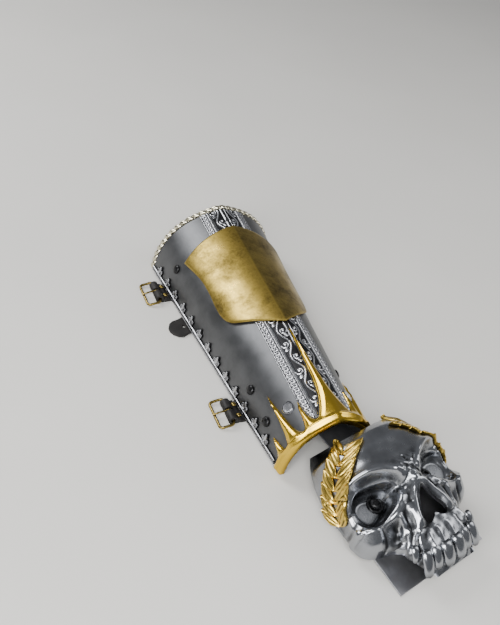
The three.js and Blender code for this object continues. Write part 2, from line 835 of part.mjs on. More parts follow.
// A leather sling hangs from the cuff's two sides and carries the plate's tongue.
function hingeSling() {
  const near = ringRivetAlong - slingWidth / 2;
  const reach = slingWidth / 2 + plateTongueHalfWidth * Math.sin(guardYaw);
  const lowest = hingeHeight - sheetSteel - reach * Math.sin(slope) - gap;
  const armTurns = [0.85, 1, 1.2, 1.4].map((share) => share * ringRivetTurn);
  const floorTurn = Math.acos(Math.min(1, (lowest - leather) / (sectionAt(near).rise - insideFace)));
  const side = (depth, height) => {
    const arm = armTurns.map((turn) => archPoint(near, turn, -insideFace - depth));
    return [...arm.map(({ x, z }) => [x, z]), [archPoint(near, floorTurn, -insideFace - depth).x, height]];
  };
  const outer = side(0, lowest - leather);
  const inner = side(leather, lowest);
  const across = (points) => points.map(([x, z]) => [-x, z]);
  const outline = [...outer, ...across(outer).reverse(), ...across(inner), ...inner.reverse()];
  return alongY(slab(outline, 0, slingWidth), ringRivetAlong, slingWidth);
}

// Skull sections from the open back edge to the teeth, as shares of the skull's length, half-width
// and crown. The hem is the lower rim.
const skullRows = [
  { along: 0, side: 0.63, crown: 0.74, hem: 0.012 },
  { along: 0.08, side: 0.76, crown: 0.87, hem: 0.012 },
  { along: 0.2, side: 0.88, crown: 0.965, hem: 0.012 },
  { along: 0.33, side: 0.955, crown: 0.98, hem: 0.012 },
  { along: 0.42, side: 0.97, crown: 0.93, hem: 0.012 },
  { along: 0.5, side: 0.96, crown: 0.87, hem: 0.012 },
  { along: 0.6, side: 0.94, crown: 0.81, hem: 0.012 },
  { along: 0.68, side: 0.86, crown: 0.76, hem: 0.012 },
  { along: 0.725, side: 0.76, crown: 0.73, hem: 0.03 },
  { along: 0.755, side: 0.6, crown: 0.7, hem: 0.16 },
  { along: 0.8, side: 0.5, crown: 0.66, hem: 0.26 },
  { along: 0.88, side: 0.46, crown: 0.6, hem: 0.29 },
  { along: 0.95, side: 0.43, crown: 0.53, hem: 0.3 },
  { along: 1, side: 0.38, crown: 0.42, hem: 0.3 },
];

// Raised and sunken places of the skull, as shares of its half-width, length and crown.
const skullBumps = [
  { part: "glabella", across: 0, along: 0.42, wide: 0.16, long: 0.06, rise: 0.05 },
  { part: "nose bridge", across: 0, along: 0.53, wide: 0.12, long: 0.07, rise: 0.1 },
  { part: "nose side", across: 0.19, along: 0.66, wide: 0.07, long: 0.09, rise: 0.07 },
  { part: "cheekbone", across: 0.86, along: 0.635, wide: 0.16, long: 0.055, rise: 0.13 },
  { part: "cheek hollow", across: 0.55, along: 0.7, wide: 0.1, long: 0.05, rise: -0.14 },
  { part: "muzzle", across: 0.3, along: 0.86, wide: 0.15, long: 0.11, rise: 0.07 },
  { part: "temple", across: 0.95, along: 0.47, wide: 0.16, long: 0.05, rise: -0.07 },
];

// Rim round each eye socket: how high it stands over the brow, at the temple and below.
const rimShare = 0.16;
const rimRows = { brow: 0.12, temple: 0.07, below: 0.03, nose: 0.03 };

function skullRow(share) {
  let i = 0;
  while (i < skullRows.length - 2 && skullRows[i + 1].along < share) i += 1;
  const [low, high] = [skullRows[i], skullRows[i + 1]];
  const part = (share - low.along) / (high.along - low.along);
  return {
    side: mix(low.side, high.side, part) * skullHalfWidth,
    crown: mix(low.crown, high.crown, part) * skullCrown,
    hem: mix(low.hem, high.hem, part) * skullCrown,
  };
}

// How far a place lies from the middle of its socket: 1 on the socket's edge.
function socketReach(x, along, out) {
  const across = Math.abs((Math.abs(x) - socketAcross) / (socketHalfWidth - out));
  const length = Math.abs((along - socketAlong) / (socketHalfLength - out));
  return (across ** 2.5 + length ** 2.5) ** 0.4;
}

function socketRim(x, along) {
  const across = (Math.abs(x) - socketAcross) / socketHalfWidth;
  const length = (along - socketAlong) / socketHalfLength;
  const far = Math.max(1e-6, Math.hypot(across, length));
  const sideShare = across > 0 ? rimRows.temple : rimRows.nose;
  const endShare = length < 0 ? rimRows.brow : rimRows.below;
  const height = (sideShare * across * across + endShare * length * length) / (far * far);
  return height * Math.exp(-(((socketReach(x, along, 0) - 1.14) / rimShare) ** 2));
}

// A point of the skull's skin: share runs from back to front, turn from -1 to 1 over the crown.
function skullPoint(share, turn, out) {
  const { side, crown, hem } = skullRow(share);
  const angle = turn * (Math.PI / 2);
  const rise = crown - hem;
  const flatX = side * Math.sin(angle);
  const rake = skullBackRake * Math.cos(angle) * (1 - Math.min(1, share * 3)) ** 2;
  const along = skullStart + share * skullLength + rake;
  let lift = socketRim(flatX, along);
  for (const bump of skullBumps) {
    const dx = (Math.abs(flatX) / skullHalfWidth - bump.across) / bump.wide;
    const dy = (share - bump.along) / bump.long;
    lift += bump.rise * Math.exp(-dx * dx - dy * dy);
  }
  const normal = new THREE.Vector2(Math.sin(angle) / side, Math.cos(angle) / rise).normalize();
  const x = flatX + normal.x * (out + lift * skullCrown);
  const height = hem + rise * Math.cos(angle) + normal.y * (out + lift * skullCrown);
  const inSocket = THREE.MathUtils.smoothstep(1.1 - socketReach(x, along, out), 0, 0.25);
  const floor = Math.min(height, socketFloor + out);
  return new THREE.Vector3(x, -along, mix(height, floor, inSocket));
}

function skullBlock(out, shares, columns, drop) {
  const rows = shares.map((share) => {
    const row = [];
    for (let i = 0; i <= columns; i += 1) {
      const turn = mix(-1, 1, i / columns);
      const point = skullPoint(share, turn, out);
      if (i === 0 || i === columns) point.z -= drop;
      row.push(point);
    }
    return row;
  });
  return blockFrom(rows);
}

const skullShares = [
  0, 0.1, 0.2, 0.27, 0.315, 0.35, 0.38, 0.43, 0.48, 0.53, 0.575, 0.605, 0.635, 0.665, 0.7, 0.73, 0.76, 0.81,
  0.88, 0.95, 1,
];
const skullColumns = 26;
const hollowColumns = 22;
const hollowShares = [
  -0.05, 0.14, 0.27, 0.315, 0.35, 0.38, 0.48, 0.575, 0.605, 0.635, 0.68, 0.73, 0.77, 0.84, 0.92, 0.965,
];

const noseRows = [
  { along: 0, half: 0.06 },
  { along: 0.22, half: 0.36 },
  { along: 0.55, half: 0.72 },
  { along: 0.86, half: 1 },
  { along: 1, half: 0.8 },
  { along: 0.95, half: 0.36 },
  { along: 0.82, half: 0 },
];

function noseOpening() {
  const side = noseRows.map(({ along, half }) => [half * noseHalfWidth, -mix(noseTop, noseBottom, along)]);
  const other = side.slice(0, -1).reverse().map(([x, y]) => [-x, y]);
  return slab([...side, ...other], skullCrown * 0.1, skullCrown * 1.5);
}

// Upper teeth round the front of the jaw, as shares of the skull's half-width and length.
const toothRows = [
  { part: "central", across: 0.1, width: 0.088, length: 0.135, back: 0 },
  { part: "lateral", across: 0.245, width: 0.066, length: 0.115, back: 0.008 },
  { part: "canine", across: 0.365, width: 0.07, length: 0.145, back: 0.035 },
  { part: "premolar", across: 0.46, width: 0.05, length: 0.1, back: 0.085 },
];
const toothTip = 0.4;
const toothLean = THREE.MathUtils.degToRad(32);

function tooth({ across, width, length, back }, side) {
  const root = width * skullHalfWidth;
  const height = length * skullLength;
  const front = skullStart + skullLength * (1 - back);
  const cone = new THREE.CylinderGeometry(root, root * toothTip, height, 6).rotateX(-toothLean);
  return cone.translate(side * across * skullHalfWidth, root / 2 - front, skullCrown * 0.3 + height * 0.1);
}

function skull() {
  const outer = skullBlock(0, skullShares, skullColumns, 0);
  const hollow = skullBlock(-skullWall, hollowShares, hollowColumns, 6 * skullWall);
  const shell = cut(outer, [hollow, noseOpening()]);
  const teeth = toothRows.flatMap((row) => [tooth(row, -1), tooth(row, 1)]);
  const bores = [-1, 1].map((side) =>
    new THREE.CylinderGeometry(boltShankRadius + gap, boltShankRadius + gap, skullCrown, 10)
      .rotateX(Math.PI / 2)
      .translate(side * boltAcross, -boltAlong, skullCrown / 2 - 1),
  );
  return cut(fuse([shell, ...teeth]), bores);
}

const socketSeat = socketFloor + gap;

function eyeWasher(side) {
  const ring = slab(circle(0, 0, washerRadius, 12), 0, washerThickness, [
    circle(0, 0, boltShankRadius + gap, 10),
  ]);
  return ring.translate(side * boltAcross, -boltAlong, socketSeat);
}

function eyeBolt(side) {
  const seat = socketSeat + washerThickness + gap;
  const profile = [
    [0, -sheetSteel],
    [boltShankRadius, -sheetSteel],
    [boltShankRadius, seat],
    [boltHeadRadius, seat],
    [boltHeadRadius * 0.8, seat + boltHeadRadius * 0.4],
    [0, seat + boltHeadRadius * 0.58],
  ];
  return turnedPiece(profile, 10).rotateX(Math.PI / 2).translate(side * boltAcross, -boltAlong, 0);
}

// Distance over the skull from its crown to its hem, a quarter round.
const templeArc = skullHalfWidth * 1.35;

// A laurel branch climbs the temple from the hem to the crown's back.
function laurelStem(share) {
  return { share: mix(0.47, 0.07, share), turn: mix(0.985, 0.4, share ** 1.15) };
}

// A leaf's points: how far along it, how far to its side, and how high up its midrib.
const leafRows = [
  { along: 0, side: 0.15, rib: 0 },
  { along: 0.42, side: 1, rib: 0 },
  { along: 1, side: 0, rib: 0 },
  { along: 0.42, side: -1, rib: 0 },
  { along: 0.1, side: 0, rib: 0.9 },
  { along: 0.6, side: 0, rib: 1 },
];

function leafOnSkull(root, heading, length) {
  const place = ({ along, side }, out) => {
    const ahead = along * length;
    const aside = side * leafHalfWidth;
    const share = root.share + (heading.x * ahead - heading.y * aside) / skullLength;
    const turn = root.turn + (heading.y * ahead + heading.x * aside) / templeArc;
    return skullPoint(Math.max(leafBackShare, share), Math.min(1, turn), out);
  };
  const points = [
    ...leafRows.map((row) => place(row, leafEdge + row.rib * leafRise)),
    ...leafRows.slice(0, 4).map((row) => place(row, -leafEdge)),
  ];
  const top = [0, 1, 4, 1, 5, 4, 1, 2, 5, 2, 3, 5, 3, 4, 5, 3, 0, 4];
  const sides = [0, 1, 2, 3].flatMap((i) => {
    const next = (i + 1) % 4;
    return [i, 6 + i, 6 + next, i, 6 + next, next];
  });
  const geometry = new THREE.BufferGeometry().setFromPoints(points);
  geometry.setIndex([...top, ...sides, 6, 8, 7, 6, 9, 8]);
  return solidFrom(geometry).volume() < 0 ? turnedOut(geometry) : geometry;
}

function laurelBranch(side) {
  const pieces = [];
  const stemSteps = 9;
  const rows = Array.from({ length: stemSteps + 1 }, (_, i) => {
    const { share, turn } = laurelStem(i / stemSteps);
    const width = mix(0.028, 0.016, i / stemSteps);
    return [
      skullPoint(share - width * 0.5, turn, -1),
      skullPoint(share + width * 0.5, turn, -1),
      skullPoint(share + width * 0.5, turn, 2),
      skullPoint(share - width * 0.5, turn, 2),
    ];
  });
  pieces.push(blockFrom(rows));
  for (let i = 0; i < leafPairs; i += 1) {
    const climb = (i + 0.1) / leafPairs;
    const here = laurelStem(climb);
    const there = laurelStem(climb + 0.05);
    const run = new THREE.Vector2(
      (there.share - here.share) * skullLength,
      (there.turn - here.turn) * templeArc,
    ).normalize();
    for (const spread of [-0.55, 0.55]) {
      const heading = run.clone().rotateAround(new THREE.Vector2(), spread);
      pieces.push(leafOnSkull(here, heading, leafLength * mix(1, 0.85, climb)));
    }
  }
  const clear = skullBlock(1.3 * gap, skullShares, skullColumns, 0);
  const reach = plateLength + skullLength;
  const belowPlate = box([-reach, -reach, -reach], [reach, reach, gap]);
  const branch = side < 0 ? mirrored(fuse(pieces)) : fuse(pieces);
  return cut(branch, [clear, belowPlate]);
}

// Finishes

function finish(color, roughness, metalness) {
  return { color, roughness, metalness };
}

const gunmetal = finish(0x4a4c4e, 0.38, 0.85);
const agedBrass = finish(0x8a7434, 0.42, 0.9);
const brightBrass = finish(0xc2a03c, 0.28, 0.95);
const paleNickel = finish(0xb9b296, 0.3, 0.95);
const antiqueSilver = finish(0x84868a, 0.45, 0.85);
const darkSteel = finish(0x5e6063, 0.32, 0.9);
const antiqueGold = finish(0x9c8640, 0.38, 0.9);
const satinSteel = finish(0x77777a, 0.45, 0.9);
const blackenedSteel = finish(0x161617, 0.35, 0.7);
const blackLeather = finish(0x1a1817, 0.7, 0);
const buckleBrass = finish(0xb8a05a, 0.3, 0.95);

// Assembly

const vambrace = new THREE.Group();
const forearm = new THREE.Group();
const handGuard = new THREE.Group();
handGuard.applyMatrix4(guardMatrix);
vambrace.add(forearm, handGuard);

function addPiece(group, name, geometry, surface) {
  const mesh = new THREE.Mesh(geometry, new THREE.MeshStandardMaterial(surface));
  mesh.name = name;
  group.add(mesh);
}

addPiece(forearm, "forearm_shell", forearmShell(), gunmetal);
addPiece(forearm, "roped_rim", ropedRim(), paleNickel);
addPiece(forearm, "wrist_trim", wristTrim(), brightBrass);
addPiece(forearm, "shield_plaque", shieldPlaque(), agedBrass);

for (const [side, sign] of [["left", -1], ["right", 1]]) {
  const sided = (geometry) => (sign < 0 ? mirrored(geometry) : geometry);
  addPiece(forearm, `knot_band_${side}`, sided(knotBand()), antiqueSilver);
  addPiece(forearm, `vine_panel_${side}`, sided(vinePanel()), antiqueSilver);
  addPiece(forearm, `edge_border_${side}`, sided(edgeBorder()), antiqueSilver);
  for (const { name, along, turn, under } of rivetPlaces) {
    const rivet = shellRivet(along, sign * turn, under);
    addPiece(forearm, `shell_rivet_${side}_${name}`, rivet, blackenedSteel);
  }
  addPiece(forearm, `ring_rivet_${side}`, ringRivet(ringRivetAlong, sign * ringRivetTurn), gunmetal);
  addPiece(handGuard, `eye_washer_${side}`, eyeWasher(sign), blackenedSteel);
  addPiece(handGuard, `eye_bolt_${side}`, eyeBolt(sign), blackenedSteel);
  addPiece(handGuard, `laurel_${side}`, laurelBranch(sign), antiqueGold);
}

for (const strap of strapRows) {
  const { place, along } = strap;
  addPiece(forearm, `${place}_strap`, longStrap(strap), blackLeather);
  addPiece(forearm, `${place}_tab`, buckleTab(along), blackLeather);
  addPiece(forearm, `${place}_buckle`, buckleFrame(along), buckleBrass);
  addPiece(forearm, `${place}_prong`, prong(along), buckleBrass);
  addPiece(forearm, `${place}_tab_rivet_1`, tabRivet(along, -1), buckleBrass);
  addPiece(forearm, `${place}_tab_rivet_2`, tabRivet(along, 1), buckleBrass);
}

addPiece(handGuard, "hand_plate", handPlate(), satinSteel);
addPiece(forearm, "hinge_sling", hingeSling(), blackLeather);
addPiece(handGuard, "skull", skull(), darkSteel);

// The origin is under the middle of the whole guard, on the ground.
vambrace.updateMatrixWorld(true);
const bounds = new THREE.Box3().setFromObject(vambrace, true);
const middle = bounds.getCenter(new THREE.Vector3());
vambrace.position.set(-middle.x, -middle.y, -bounds.min.z);

export default vambrace;
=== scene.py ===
"""Dresses the vambrace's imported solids: cuff, reliefs, trim, skull guard, laurels, straps and stage."""
import math

import bmesh
import bpy
import numpy as np
from bpy.props import FloatProperty, FloatVectorProperty, IntProperty, PointerProperty
from mathutils import Matrix, Vector


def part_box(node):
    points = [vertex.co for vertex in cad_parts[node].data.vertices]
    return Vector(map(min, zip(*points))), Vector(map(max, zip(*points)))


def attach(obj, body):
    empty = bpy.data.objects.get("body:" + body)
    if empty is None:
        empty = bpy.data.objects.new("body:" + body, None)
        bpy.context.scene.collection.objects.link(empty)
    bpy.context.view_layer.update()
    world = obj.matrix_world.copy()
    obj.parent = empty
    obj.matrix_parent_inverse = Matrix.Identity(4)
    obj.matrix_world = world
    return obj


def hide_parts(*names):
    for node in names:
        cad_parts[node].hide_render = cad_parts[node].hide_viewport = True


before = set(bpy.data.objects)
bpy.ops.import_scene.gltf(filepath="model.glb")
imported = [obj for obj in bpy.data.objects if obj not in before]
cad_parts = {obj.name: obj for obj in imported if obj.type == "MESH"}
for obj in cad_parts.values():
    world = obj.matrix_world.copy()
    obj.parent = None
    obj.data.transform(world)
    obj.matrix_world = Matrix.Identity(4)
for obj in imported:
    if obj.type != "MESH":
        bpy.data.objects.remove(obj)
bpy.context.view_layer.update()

bl_info = {
    "name": "Skull Vambrace",
    "version": (1, 0, 0),
    "blender": (4, 5, 0),
    "location": "3D View > Sidebar > Vambrace",
    "description": "Makes the dressed pieces of a skull vambrace over its packed solids",
    "category": "Object",
}

# Shared sizes, in millimetres

MM = 0.001
GAP = 0.3
SHELL_WALL = 2.6
WRIST = {"half": 39.6, "rise": 50.7}
ELBOW = {"half": 60.7, "rise": 62.8}
KEEL_RISE = 3.3
KEEL_SPREAD = 0.5
LOW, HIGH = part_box("forearm_shell")
ORIGIN = np.array([(LOW.x + HIGH.x) / 2, LOW.y, LOW.z]) / MM
SHELL_LENGTH = (HIGH.y - LOW.y) / MM
STRAP_LEATHER = 2.0
GROUND = -(STRAP_LEATHER + 2 * GAP)

HINGE = np.array([10.2, 26.5, 19.5])
GUARD_YAW = math.radians(15)
PLATE_LENGTH = 146.8
SHEET_STEEL = 1.4
SLOPE = math.asin((HINGE[2] - GROUND) / math.hypot(PLATE_LENGTH, SHEET_STEEL)) - math.atan2(
    SHEET_STEEL, PLATE_LENGTH
)

QUARTER = math.pi / 2


# Sizes and colours that a user would change


def length(name, description, default_mm):
    return FloatProperty(
        name=name, description=description, default=default_mm * MM, min=0, unit="LENGTH", precision=5
    )


def linear(hex_colour):
    """An sRGB hex value as a linear colour."""
    parts = [((hex_colour >> shift) & 255) / 255 for shift in (16, 8, 0)]
    return tuple(p / 12.92 if p <= 0.04045 else ((p + 0.055) / 1.055) ** 2.4 for p in parts)


def colour(name, description, hex_colour):
    return FloatVectorProperty(
        name=name, description=description, default=linear(hex_colour), size=3,
        min=0, max=1, subtype="COLOR",
    )


class VambraceSizes(bpy.types.PropertyGroup):
    """Sizes of the dressed pieces."""

    rope_radius: length("Rope radius", "Half the roped rim's thickness", 3.3)
    rope_pitch: length("Rope pitch", "Distance from strand to strand", 6.6)
    relief_depth: length("Relief depth", "Height of the bands' ornament", 0.9)
    braid_pitch: length("Braid pitch", "Length of one turn of the braided bands", 13.0)
    scroll_pitch: length("Scroll pitch", "Length of one wave of the scrolled panels", 29.0)
    trim_thickness: length("Trim thickness", "Height of the wrist trim over the shell", 3.0)
    plaque_thickness: length("Plaque thickness", "Sheet thickness of the shield plaque", 1.4)
    leaf_length: length("Leaf length", "Length of a laurel leaf", 22.0)
    skull_wall: length("Skull wall", "Wall thickness of the cast skull", 3.0)
    buckle_wire: length("Buckle wire", "Thickness of the buckle frames", 2.4)
    leaf_pairs: IntProperty(name="Leaf pairs", description="Pairs of leaves on a branch", default=7, min=1)
    fleur_count: IntProperty(name="Fleurs", description="Fleurs along each lower edge", default=13, min=2)


class VambraceColours(bpy.types.PropertyGroup):
    """Colours of the finishes."""

    gunmetal: colour("Gunmetal", "The cuff's steel", 0x606163)
    aged_brass: colour("Aged brass", "The shield plaque", 0x9C8642)
    bright_brass: colour("Bright brass", "The wrist trim", 0xCDAA3C)
    pale_brass: colour("Pale brass", "The roped rim", 0xC9C3AC)
    silver: colour("Antique silver", "The bands' rubbed relief", 0xB4B5B9)
    cast_metal: colour("Cast metal", "The skull", 0x85878B)
    antique_gold: colour("Antique gold", "The laurel leaves", 0xB59A4A)
    satin_steel: colour("Satin steel", "The hand plate", 0x9A9A9E)
    leather: colour("Leather", "Straps, tabs and sling", 0x1A1817)
    buckle_brass: colour("Buckle brass", "Buckles and their rivets", 0xB8A05A)
    floor: colour("Floor", "The plain floor", 0xD9D7D2)


def sizes():
    return bpy.context.scene.vambrace_sizes


def colours():
    return bpy.context.scene.vambrace_colours


def in_mm(value):
    return value / MM


# Meshes


def in_scene(name, data):
    """A new object at the origin."""
    made = bpy.data.objects.new(name, data)
    bpy.context.scene.collection.objects.link(made)
    return made


def store_values(mesh, fields):
    """Numbers on each point, which the materials read."""
    for field, values in (fields or {}).items():
        attribute = mesh.attributes.new(field, "FLOAT", "POINT")
        attribute.data.foreach_set("value", np.asarray(values, np.float32))


def smooth_faces(mesh, sharp):
    mesh.shade_smooth()
    mesh.set_sharp_from_angle(angle=math.radians(sharp))


def cells(within):
    """The cells of a grid that have a corner within."""
    return within[:-1, :-1] | within[1:, :-1] | within[1:, 1:] | within[:-1, 1:]


def ring_faces(rows, sides):
    """Faces between rows of points that each close into a ring."""
    number = np.arange(rows * sides).reshape(rows, sides)
    after = np.roll(number, -1, 1)
    return np.stack([number[:-1], after[:-1], after[1:], number[1:]], -1).reshape(-1, 4)


def run_along(line):
    """The distance along a line at each of its points."""
    return np.concatenate([[0], np.cumsum(np.linalg.norm(np.diff(line, axis=0), axis=1))])


def mesh_object(name, points, faces, sharp=40, fields=None):
    """A mesh object from points in the shell frame, in millimetres."""
    mesh = bpy.data.meshes.new(name)
    placed = (np.asarray(points, float) + ORIGIN) * MM
    mesh.from_pydata(placed.tolist(), [], np.asarray(faces).tolist())
    store_values(mesh, fields)
    work = bmesh.new()
    work.from_mesh(mesh)
    bmesh.ops.recalc_face_normals(work, faces=work.faces)
    work.to_mesh(mesh)
    work.free()
    smooth_faces(mesh, sharp)
    return in_scene(name, mesh)


def ridges(top, reach, scale):
    """How far each place of a grid stands over its neighbours: near 1 on ridges, near 0 in hollows."""
    padded = np.pad(top, ((reach, reach), (reach, reach), (0, 0)), mode="edge")
    n, m = top.shape[:2]
    near = [
        padded[reach + i : reach + i + n, reach + j : reach + j + m]
        for i, j in ((reach, 0), (-reach, 0), (0, reach), (0, -reach))
    ]
    along_rows = near[0] - near[1]
    along_columns = near[2] - near[3]
    normal = np.cross(along_rows, along_columns)
    normal /= np.maximum(np.linalg.norm(normal, axis=-1, keepdims=True), 1e-9)
    up = np.sign((normal * outward(top)).sum(-1, keepdims=True))
    dip = (sum(near) / 4 - top) * normal * up
    return 0.5 - 0.5 * np.tanh(dip.sum(-1) / scale)


def outward(top):
    """A rough outward direction for points of the shell frame."""
    away = top - np.array([0, 0, 5.0])
    away[..., 1] = 0
    return away


def closed_skin(top, bottom, kept):
    """Points and faces of a closed wall between two grids, over the kept cells."""
    n, m = top.shape[:2]
    number = np.arange(n * m).reshape(n, m)
    a, b, c, d = number[:-1, :-1], number[1:, :-1], number[1:, 1:], number[:-1, 1:]
    quads = np.stack([a, b, c, d], -1)[kept]
    under = quads[:, ::-1] + n * m
    walls = []
    framed = np.pad(kept, 1)
    edges = (
        (framed[1:-1, :-2], a, b),
        (framed[2:, 1:-1], b, c),
        (framed[1:-1, 2:], c, d),
        (framed[:-2, 1:-1], d, a),
    )
    for neighbour, start, end in edges:
        open_edge = kept & ~neighbour
        first, second = start[open_edge], end[open_edge]
        walls.append(np.stack([second, first, first + n * m, second + n * m], -1))
    faces = np.concatenate([quads, under, *walls])
    points = np.concatenate([top.reshape(-1, 3), bottom.reshape(-1, 3)])
    used, compact = np.unique(faces, return_inverse=True)
    return points[used], compact.reshape(faces.shape), used


def skin_object(name, top, bottom, kept, reach=2, scale=0.15, sharp=40, ridge=None):
    """A closed wall whose points know how rubbed they are and how much painted highlight and shade they
    get, from their own heights or from the relief.
    """
    points, faces, used = closed_skin(top, bottom, kept)
    rubbed_and_lit = ridges(top, reach, scale) if ridge is None else ridge
    # Undersides get 0.2, so they and the lower part of each side wall take painted shade.
    ridge = np.concatenate([rubbed_and_lit.ravel(), np.full(bottom.shape[0] * bottom.shape[1], 0.2)])
    return mesh_object(name, points, faces, sharp, {"ridge": ridge[used]})


def join(name, pieces):
    """One object from several, without modifiers."""
    work = bmesh.new()
    for piece in pieces:
        work.from_mesh(piece.data)
    mesh = bpy.data.meshes.new(name)
    work.to_mesh(mesh)
    work.free()
    for piece in pieces:
        bpy.data.objects.remove(piece)
    return in_scene(name, mesh)


def dress(piece, material, slot, *nodes):
    """Gives a finished piece its material and its place in the frame."""
    piece.data.materials.clear()
    piece.data.materials.append(material)
    if nodes:
        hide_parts(*nodes)
    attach(piece, "root")


# Flat patterns


def through(rows, corners=(), steps=6, closed=True):
    """A smooth line through points that keeps its corners, as an array of points."""
    points = np.asarray(rows, float)
    count = len(points)
    line = []
    last = count if closed else count - 1
    for i in range(last):
        p1, p2 = points[i], points[(i + 1) % count]
        before = p1 if (i in corners or (not closed and i == 0)) else points[i - 1]
        beyond = (i + 1) % count
        stops = beyond in corners or (not closed and beyond == count - 1)
        after = p2 if stops else points[(i + 2) % count]
        reach = np.linalg.norm(p2 - p1)
        first = (p2 - before) / max(np.linalg.norm(p2 - before), 1e-9) * reach
        second = (after - p1) / max(np.linalg.norm(after - p1), 1e-9) * reach
        for t in np.arange(steps) / steps:
            line.append(
                (2 * t**3 - 3 * t**2 + 1) * p1
                + (t**3 - 2 * t**2 + t) * first
                + (3 * t**2 - 2 * t**3) * p2
                + (t**3 - t**2) * second
            )
    if not closed:
        line.append(points[-1])
    return np.array(line)


def to_line(u, v, line, closed):
    """Distance from places to a line, and how far along it, from 0 to 1, its nearest point is."""
    ends = np.roll(line, -1, 0) if closed else line[1:]
    starts = line if closed else line[:-1]
    best = np.full(u.shape, np.inf)
    share = np.zeros(u.shape)
    run = np.concatenate([[0], np.cumsum(np.linalg.norm(ends - starts, axis=1))])
    for k, ((ax, ay), (bx, by)) in enumerate(zip(starts, ends)):
        dx, dy = bx - ax, by - ay
        size = dx * dx + dy * dy
        t = np.clip(((u - ax) * dx + (v - ay) * dy) / max(size, 1e-12), 0, 1)
        far = np.hypot(u - ax - t * dx, v - ay - t * dy)
        nearer = far < best
        best = np.where(nearer, far, best)
        share = np.where(nearer, (run[k] + t * math.sqrt(size)) / run[-1], share)
    return best, share


def inside_line(u, v, line):
    """Signed distance to a closed line: below 0 inside it."""
    far, _ = to_line(u, v, line, True)
    crossed = np.zeros(u.shape, bool)
    for (ax, ay), (bx, by) in zip(line, np.roll(line, -1, 0)):
        if ay == by:
            continue
        crossed ^= ((ay > v) != (by > v)) & (u < (bx - ax) * (v - ay) / (by - ay) + ax)
    return np.where(crossed, -far, far)


def relief(field, height, floor, low, high, cell, place):
    """Two grids, the kept cells and the heights of a flat piece with a smooth outline, bent into place."""
    us = np.linspace(low[0], high[0], max(2, round((high[0] - low[0]) / cell)) + 1)
    vs = np.linspace(low[1], high[1], max(2, round((high[1] - low[1]) / cell)) + 1)
    u, v = np.meshgrid(us, vs, indexing="ij")
    inside = field(u, v)
    kept = cells(inside < 0)
    small = cell * 0.05
    for _ in range(2):
        here = field(u, v)
        gu = (field(u + small, v) - field(u - small, v)) / (2 * small)
        gv = (field(u, v + small) - field(u, v - small)) / (2 * small)
        pull = np.where(inside > 0, here / np.maximum(gu * gu + gv * gv, 0.3), 0)
        pull = np.clip(pull, -cell, cell)
        u = u - pull * gu
        v = v - pull * gv
    rise = height(u, v, -field(u, v))
    return place(u, v, rise), place(u, v, floor(u, v)), kept, rise


def flat_floor(height):
    """An underside at one height, for a relief."""
    return lambda u, v: np.full(u.shape, height)


# The arch of the cuff


def section(along):
    share = along / SHELL_LENGTH
    half = WRIST["half"] + (ELBOW["half"] - WRIST["half"]) * share
    rise = WRIST["rise"] + (ELBOW["rise"] - WRIST["rise"]) * share
    return half, rise


def arch(along, turn, out):
    """Points on the cuff, turned from the keel and moved out along the normal."""
    along, turn, out = np.broadcast_arrays(*(np.asarray(value, float) for value in (along, turn, out)))
    half, rise = section(along)
    sine, cosine = np.sin(turn), np.cos(turn)
    blend = np.maximum(0, 1 - np.abs(sine) / KEEL_SPREAD)
    side = np.where(turn < 0, -1, 1)
    slope_x = half * cosine
    slope_z = -rise * sine - side * 2 * KEEL_RISE * blend * cosine / KEEL_SPREAD
    size = np.hypot(slope_x, slope_z)
    on_keel = np.abs(turn) < 1e-6
    normal_x = np.where(on_keel, 0, -slope_z / size)
    normal_z = np.where(on_keel, 1, slope_x / size)
    x = half * sine + normal_x * out
    z = rise * cosine + KEEL_RISE * blend**2 + normal_z * out
    return np.stack([x, along, z], -1)


STATIONS = np.linspace(-12, SHELL_LENGTH + 12, 15)
OVER = np.linspace(0, 110, 441)


def turn_tables():
    turns = np.linspace(0, QUARTER, 500)
    table, quarter = [], []
    for along in STATIONS:
        line = arch(along, turns, 0)
        run = run_along(line)
        quarter.append(run[-1])
        table.append(np.interp(OVER, run, turns, right=QUARTER))
    return np.array(table), np.array(quarter)


TURNS, QUARTERS = turn_tables()


def quarter_arc(along):
    return np.interp(along, STATIONS, QUARTERS)


def over_arch(across, along, out):
    """Points at a distance over the cuff's surface from the keel."""
    across, along, out = np.broadcast_arrays(*(np.asarray(value, float) for value in (across, along, out)))
    row = np.clip((along - STATIONS[0]) / (STATIONS[1] - STATIONS[0]), 0, len(STATIONS) - 1.001)
    column = np.clip(np.abs(across) / OVER[1], 0, len(OVER) - 1.001)
    i, j = row.astype(int), column.astype(int)
    p, q = row - i, column - j
    turn = (
        TURNS[i, j] * (1 - p) * (1 - q)
        + TURNS[i + 1, j] * p * (1 - q)
        + TURNS[i, j + 1] * (1 - p) * q
        + TURNS[i + 1, j + 1] * p * q
    )
    return arch(along, np.sign(across) * turn, out)


# The hand guard's frame


def guard_matrix():
    turn = Matrix.Rotation(GUARD_YAW, 4, "Z") @ Matrix.Rotation(SLOPE, 4, "X")
    return np.array(turn.to_3x3())


GUARD = guard_matrix()


def from_guard(points):
    """Points of the guard's frame in the shell's frame."""
    return np.asarray(points, float) @ GUARD.T + HINGE


# Materials


def add_node(tree, kind, settings=None, **inputs):
    """Adds one node, sets its properties, and sets or links its inputs by name or number."""
    made = tree.nodes.new(kind)
    for name, value in (settings or {}).items():
        setattr(made, name, value)
    for name, value in inputs.items():
        numbered = name[0] == "n" and name[1:].isdigit()
        socket = made.inputs[int(name[1:]) if numbered else name.replace("_", " ")]
        if isinstance(value, bpy.types.NodeSocket):
            tree.links.new(value, socket)
        else:
            socket.default_value = value
    return made


